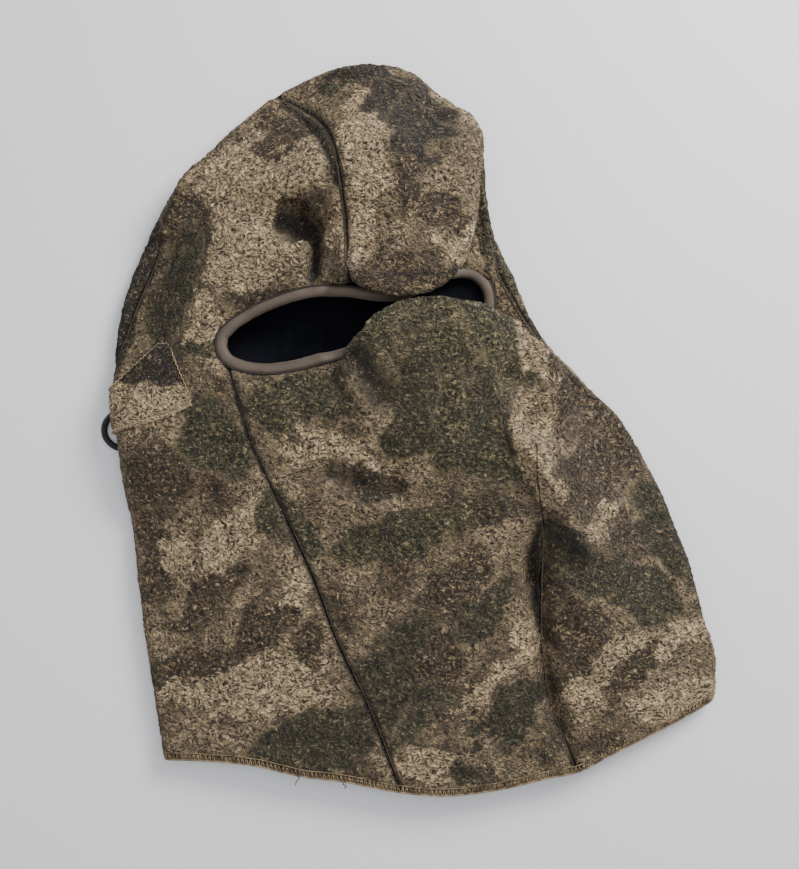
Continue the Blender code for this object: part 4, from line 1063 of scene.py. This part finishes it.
def shell():
    for side, left in (("left", True), ("right", False)):
        fleece_panel("shell_side_" + side, "fleece_side_" + side,
                     lambda s, sh, left=left: side_row(s, left, sh), 0.0, TIP, top_out,
                     "inner_side_" + side, "lining_side_" + side)
    fleece_panel("shell_front", "fleece_front", front_row, 0.0, CHEEK, top_out, "inner_front", "lining_front")
    fleece_panel("shell_back", "fleece_back", back_row, 0.0, TIP, under_out, "inner_back", "lining_back",
                 step=1.8, back=True)


def tube(name, line, radius, finish, sides=10, closed=False, turns_per_mm=0.5):
    """A round tube along a line of points in plan millimetres, with UVs round and along it."""
    line = np.array(line, float)
    if closed:
        ways = np.roll(line, -1, axis=0) - np.roll(line, 1, axis=0)
    else:
        ways = np.gradient(line, axis=0)
    ways /= np.linalg.norm(ways, axis=1)[:, None] + 1e-9
    side = np.cross(ways[0], (0, 0, 1.0))
    if np.linalg.norm(side) < 0.1:
        side = np.array([1.0, 0, 0])
    rings, run = [], 0.0
    uv = []
    for k, (point, way) in enumerate(zip(line, ways)):
        side = side - (side @ way) * way
        side /= np.linalg.norm(side)
        up = np.cross(way, side)
        if k:
            run += np.linalg.norm(line[k] - line[k - 1])
        for t in range(sides):
            angle = 2 * math.pi * t / sides
            rings.append(point + radius * (math.cos(angle) * side + math.sin(angle) * up))
            uv.append((t / sides * 2, run * turns_per_mm))
    return add_mesh(name, np.array(rings), ring_faces(len(line), sides, closed), finish, uv=uv)


def rim_points(along, grow):
    """The eye opening's edge on the lying skin, moved outwards by grow."""
    p = rim(along, grow)
    return lie(p, np.ones(len(p), bool))


RIM_LINE = rim_points(np.linspace(0, RIM[2][-1], 420), 0.0)


def eye_binding():
    """Fold-over tape sewn round the eye opening: crowned on top, folded at its inner edge."""
    along = np.linspace(0, RIM[2][-1], 560, endpoint=False)
    outer, inner = rim_points(along, 0.0), rim_points(along, -7.0)
    ways = np.roll(outer, -1, axis=0) - np.roll(outer, 1, axis=0)
    ways /= np.linalg.norm(ways, axis=1)[:, None]
    inward = inner - outer
    inward -= np.einsum("ij,ij->i", inward, ways)[:, None] * ways
    inward /= np.linalg.norm(inward, axis=1)[:, None]
    for _ in range(20):
        inward = blurred(inward)
        inward /= np.linalg.norm(inward, axis=1)[:, None]
    up = np.cross(inward, ways)
    up *= np.sign(up[:, 2].mean())
    profile = [(0.5, -2.2), (0.3, -0.9), (0.9, 0.0), (1.7, 0.5), (3.2, 0.8), (4.9, 0.6), (6.1, 0.0),
               (6.8, -1.0), (7.0, -2.4), (6.6, -3.8), (5.4, -4.7), (3.0, -5.0), (1.2, -4.9), (0.6, -4.0)]
    ripple = 1 + 0.05 * noise(outer, 9, 31)[:, None] + 0.03 * noise(outer, 3.4, 32)[:, None]
    rings = [outer + inward * a * ripple + up * b * ripple for a, b in profile]
    points = np.stack(rings, axis=1).reshape(-1, 3)
    faces = ring_faces(len(along), len(profile))
    girth = np.concatenate([[0], np.cumsum(np.hypot(*np.diff(np.array(profile), axis=0).T))])
    uv = [(length / 1000, g / 1000) for length in along for g in girth]
    # Painted shadow: a near-black strand along the tape's outer edge stands for the shade in the gap where
    # the tape meets the fleece.
    edge = outer + inward * 0.1 - up * 0.9
    shadow = tube("binding_gap_shadow", edge, 0.75, "painted_gap_shadow", sides=7, closed=True)
    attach(shadow, "hood")
    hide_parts("eye_binding")
    made = add_mesh("eye_binding_tape", points, faces, "tape", uv=uv)
    face_out(made)
    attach(made, "hood")
    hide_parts("eye_binding")
    return made


def skin_normals(p, top):
    """The ways out of the lying skin at these plan positions."""
    step = 0.7
    across = lie(p + (step, 0), top) - lie(p - (step, 0), top)
    along = lie(p + (0, step), top) - lie(p - (0, step), top)
    normals = np.cross(across, along) * np.where(top, 1.0, -1.0)[:, None]
    return normals / (np.linalg.norm(normals, axis=1)[:, None] + 1e-9)


def seam_stitches():
    """Thread lying in each seam's groove, sunk at every stitch."""
    middle = np.array([-20.0, 0, 20.0])
    for name, (line, depth, _) in SEAM_LINES.items():
        if name == "front_right_low":
            continue
        lengths = run_along(line)
        shown = 0.55 if name == "front_right" else 1.0
        at = np.arange(5.0, lengths[-1] * shown - 7.0, 0.8)
        points = points_at(line, lengths, at)
        inward = middle - points
        inward[:, :2] *= 0.12 if name.startswith(("front", "centre")) else 1.0
        inward /= np.linalg.norm(inward, axis=1)[:, None]
        points += inward * (max(depth, 1.8) * 0.95 + 0.3 * np.cos(at / 2.8 * 2 * math.pi))[:, None]
        made = tube("stitching_" + name, points, 0.42, "seam", sides=6)
        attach(made, "hood")
        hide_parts("seam_thread_" + name)


# The left tab as (distance in from the fold, lower y, upper y); the right one as (distance in, half width)
LEFT_TAB = [
    (0, -2.5, 26.5), (3, -1.2, 29.5), (31, 6.0, 55.0), (37, 8.0, 55.0), (39.5, 8.8, 51.7), (52, 15.0, 19.0),
]
LEFT_TAB_MOUTH = -20.0
RIGHT_TAB = [(12, 4), (22, 20), (34, 20), (50, 11), (62, 11)]
RIGHT_TAB_STATION = 0.515
TAB_GAP = 0.9
TAB_THICKNESS = 2.2
TAB_MOUTH_DEPTH = 4.6


def tab_patch(name, node, rows, depths, dark_above):
    """A fleece patch laid on the skin, its edges turned down and topstitched."""
    p = np.concatenate([r[0] for r in rows])
    top = np.concatenate([r[1] for r in rows])
    shape = (len(rows), -1, 3)
    base, normals = lie(p, top), skin_normals(p, top)
    grid = base.reshape(shape)
    run_y = np.concatenate([np.zeros((len(rows), 1)),
                            np.cumsum(np.linalg.norm(np.diff(grid, axis=1), axis=2), axis=1)], axis=1)
    run_x = np.concatenate([np.zeros((1, grid.shape[1])),
                            np.cumsum(np.linalg.norm(np.diff(grid, axis=0), axis=2), axis=0)], axis=0)
    edge = np.minimum.reduce([run_y, run_y[:, -1:] - run_y, run_x, run_x[-1:] - run_x]).ravel()
    stitch = 0.9 * np.exp(-(((edge - 2.6) / 0.8) ** 2))
    depth = np.repeat(depths, grid.shape[1])
    height = TAB_GAP + depth * np.sqrt(np.clip(edge / 1.4, 0.1, 1)) - stitch
    outer = (base + normals * height[:, None]).reshape(shape)
    calm = (0.35 + 0.65 * ease((edge - 3) / 2)) * np.where(edge < 0.3, 0.2, 1)
    outer = pile(outer, normals.reshape(shape), calm * 0.8)
    inner = (base + normals * TAB_GAP * 0.3).reshape(shape)
    for layer in (outer, inner):
        layer[:, :, 2] = np.maximum(layer[:, :, 2], 0.1)
    amounts = np.zeros((len(p), 4))
    flat = np.column_stack([p, np.zeros(len(p))])
    dark = ease((p[:, 1] - dark_above + 5 * noise(flat, 9, 51)) / 4)
    amounts[:, 1], amounts[:, 2], amounts[:, 3] = dark, dark * 0.75, (1 - dark) * 0.8
    made = slab(name, outer, inner, "fleece", amounts)
    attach(made, "hood")
    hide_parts(node)
    # Topstitching: short stitches that dip between one hole and the next
    ring = []
    rows_n, cols_n = grid.shape[:2]
    a, b, c, d = 2, cols_n - 3, 2, rows_n - 3
    ring += [outer[c, j] for j in range(a, b)] + [outer[i, b] for i in range(c, d)]
    ring += [outer[d, j] for j in range(b, a, -1)] + [outer[i, a] for i in range(d, c, -1)]
    ring = np.array(ring)
    centre = grid.reshape(-1, 3).mean(axis=0)
    lengths = run_along(ring)
    at = np.arange(0, lengths[-1], 0.5)
    line = points_at(ring, lengths, at)
    away = line - (centre - (0, 0, 12.0 if top.mean() > 0.5 else -12.0))
    away /= np.linalg.norm(away, axis=1)[:, None]
    line += away * (0.25 + 0.45 * np.cos(at / 3.0 * 2 * math.pi))[:, None]
    line[:, 2] = np.maximum(line[:, 2], 0.4)
    thread = tube(name + "_topstitch", line, 0.3, "topstitch", sides=5)
    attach(thread, "hood")
    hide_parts(node)


def tab_depth(from_mouth):
    """How thick a tab is: opened by the cord at its mouth and flat a little way in."""
    return TAB_THICKNESS + (TAB_MOUTH_DEPTH - TAB_THICKNESS) * max(0, 1 - from_mouth / 9)


def tabs():
    """The left tab, folded round the side of the hood, and the right one under it."""
    table = np.array(LEFT_TAB, float)
    stations = np.linspace(0.2, 0.7, 60)
    fold_line = smooth(LEFT_FOLD, stations)
    rows, depths = [], []
    for ell in np.arange(LEFT_TAB_MOUTH, 56.0, 1.3):
        turned = min(abs(ell) / EDGE_ROLL, math.pi / 2)
        inward = EDGE_ROLL * (1 - math.cos(turned)) + max(abs(ell) - EDGE_ROLL * math.pi / 2, 0)
        at = inward if ell > 0 else 0
        if at > table[-1, 0]:
            break
        low, high = np.interp(at, table[:, 0], table[:, 1]), np.interp(at, table[:, 0], table[:, 2])
        y = np.linspace(low, high, 40)
        fold = np.column_stack([np.interp(y, fold_line[:, 1], fold_line[:, 0]), y])
        rows.append((fold + (inward, 0), np.full(40, ell >= 0)))
        depths.append(tab_depth(ell - LEFT_TAB_MOUTH))
    tab_patch("tab_patch_left", "cord_tab_left", rows, np.array(depths), 26)
    table = np.array(RIGHT_TAB, float)
    fold = smooth(RIGHT_FOLD, RIGHT_TAB_STATION)[0]
    rows, depths = [], []
    for far in np.arange(62.0, 12.0, -1.3):
        half = np.interp(far, table[:, 0], table[:, 1])
        y = fold[1] - 10 + np.linspace(-half, half, 30)
        rows.append((np.column_stack([np.full(30, fold[0] - far), y]), np.zeros(30, bool)))
        depths.append(tab_depth(62 - far))
    tab_patch("tab_patch_right", "cord_tab_right", rows, np.array(depths), 200)


def hem_line(step):
    """Points round the whole hem, with the way out of the cloth there."""
    shares = np.linspace(0, 1, 500)
    parts = []
    for row, turned in ((lambda sh: side_row(0.0, True, sh), False), (lambda sh: front_row(0.0, sh), False),
                        (lambda sh: side_row(0.0, False, sh), True), (lambda sh: back_row(0.0, sh), True)):
        p, top = row(shares)
        points = lie(p, top)
        parts.append(points[::-1] if turned else points)
    line = np.concatenate(parts)
    lengths = run_along(line)
    at = np.arange(0, lengths[-1], step)
    points = points_at(line, lengths, at)
    ways = np.roll(points, -1, axis=0) - np.roll(points, 1, axis=0)
    for _ in range(6):
        ways = blurred(ways)
    ways /= np.linalg.norm(ways, axis=1)[:, None]
    out = np.cross(ways, (0, 1.0, 0))
    out /= np.linalg.norm(out, axis=1)[:, None] + 1e-9
    if out[len(out) // 5, 2] < 0:
        out = -out
    return points, out


# Loose thread ends hanging from the hem, as (x, points of the tail from there)
HEM_TAILS = [
    (-74, [(0, 0), (0.5, -2.5), (-1.5, -5.5), (-2, -8.5)]),
    (-45, [(0, 0), (-1, -2), (1, -4), (0, -6)]),
]


def hem_overlock():
    """Three-thread overlock round the hem: loops over the cut edge and a needle line above it."""
    step, pitch = 0.55, 2.6
    points, out = hem_line(step)
    t = np.arange(len(points)) * step
    phase = 2 * math.pi * t / pitch
    south = np.array([0, -1.0, 0])
    bite = 3.6 + 0.5 * noise(points, 14, 41)
    reach = 0.5 + 0.5 * np.cos(phase)
    face = points + out * (0.75 + 0.15 * np.sin(phase))[:, None] - south * (bite * reach)[:, None]
    drop = points + south * (0.5 + 0.3 * np.sin(phase))[:, None]
    drop = drop - out * (FLEECE * 0.45 * (1 - reach))[:, None]
    loops = face * reach[:, None] + drop * (1 - reach)[:, None]
    loops[:, 2] = np.maximum(loops[:, 2], 0.45)
    pieces = [tube("hem_overlock_loops", loops, 0.42, "overlock", sides=5, closed=True)]
    needle = points + out * (0.55 + 0.25 * np.cos(phase))[:, None] - south * (bite + 0.4)[:, None]
    needle[:, 2] = np.maximum(needle[:, 2], 0.45)
    pieces.append(tube("hem_needle_thread", needle, 0.34, "overlock", sides=5, closed=True))
    band = []
    for a, b in ((0.0, 0.2), (0.9, 0.0), (1.1, -1.2), (1.0, -3.4), (0.6, -4.4), (-0.2, -4.4), (-0.2, -2.0)):
        band.append(points[::3] + south * a + out[::3] * b)
    ring = np.stack(band, axis=1)
    ring[:, :, 2] = np.maximum(ring[:, :, 2], 0.0)
    faces = ring_faces(len(ring), len(band))
    pieces.append(add_mesh("hem_edge_thread", ring.reshape(-1, 3), faces, "overlock"))
    for x, curve in HEM_TAILS:
        start = points[np.argmin(np.abs(points[:, 0] - x) + 1e3 * (out[:, 2] < 0))]
        tail = along_line([(start[0] + a, start[1] + b, max(start[2] + b, 0.6)) for a, b in curve], 24)
        pieces.append(tube("hem_thread_end", tail, 0.3, "seam", sides=5))
    for piece in pieces:
        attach(piece, "hood")
        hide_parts("hem_overlock")
    return pieces


# ---------------------------------------------------------------- camera, floor and light


def camera_and_light():
    height, cloth_height, view_width, sensor = 900.0, 22, 495.38, 36.0
    lens = bpy.data.cameras.new("camera")
    camera = bpy.data.objects.new("camera", lens)
    bpy.context.scene.collection.objects.link(camera)
    camera.location = Vector(place((-10.9, -2.8, height)))
    lens.sensor_fit = "HORIZONTAL"
    lens.sensor_width = sensor
    lens.lens = sensor * (height - cloth_height) / view_width
    lens.clip_end = 20.0
    bpy.context.scene.camera = camera
    for name, at, size, power, tint in (
            ("key_softbox", (640, 700, 760), 0.6, 23.0, (1.0, 0.98, 0.95)),
            ("ceiling_softbox", (100, 100, 1500), 1.4, 14.0, (0.97, 0.98, 1.0)),
            ("fill_softbox", (-900, -300, 700), 1.2, 2.0, (1.0, 1.0, 1.0))):
        data = bpy.data.lights.new(name, "AREA")
        data.shape = "DISK"
        data.size = size
        data.energy = power
        data.color = tint
        lamp = bpy.data.objects.new(name, data)
        bpy.context.scene.collection.objects.link(lamp)
        lamp.location = Vector(place(at))
        aim = Vector(place((0, 0, 20))) - lamp.location
        lamp.rotation_euler = aim.to_track_quat("-Z", "Y").to_euler()
    world = bpy.data.worlds.new("studio")
    world.use_nodes = True
    world.node_tree.nodes["Background"].inputs["Color"].default_value = ink("e6e9ee")
    world.node_tree.nodes["Background"].inputs["Strength"].default_value = 0.55
    bpy.context.scene.world = world


def floor():
    made, tree, skin = new_material("pale_floor")
    feed(tree, skin, Base_Color=ink("d6d6d8"), Roughness=0.6)
    FINISH["floor"] = made
    edge, top = 2600.0, -0.2
    corners = [(-edge, -edge, top), (edge, -edge, top), (edge, edge, top), (-edge, edge, top)]
    plate = add_mesh("floor", corners, [[0, 1, 2, 3]], "floor")


# ---------------------------------------------------------------- drawcord and lock


def lock_coil():
    """The lock's spring in drawn wire, on its own copy of the part's mesh, attached to the lock."""
    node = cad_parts["lock_spring"]
    data = node.data.copy()
    data.transform(node.matrix_world)
    data.materials.clear()
    data.materials.append(FINISH["wire"])
    made = bpy.data.objects.new("lock_coil", data)
    bpy.context.scene.collection.objects.link(made)
    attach(made, "cord_lock")
    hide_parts("lock_spring")
    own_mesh(made)
    return made


def drawcord():
    line = along_line(CORD_ROUTE, 420)
    made = tube("elastic_drawcord", line, CORD_DIAMETER / 2, "elastic", sides=14, turns_per_mm=0.32)
    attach(made, "hood")
    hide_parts("drawcord")
    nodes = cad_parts
    lock_coil()
    for node, finish in (("lock_housing", "acetal"), ("lock_plunger", "acetal"), ("care_label", "label")):
        data = nodes[node].data
        data.materials.clear()
        data.materials.append(FINISH[finish])
    return made


camera_and_light()
drawcord()
floor()
lay_seam_lines()
shell()
eye_binding()
seam_stitches()
tabs()
hem_overlock()
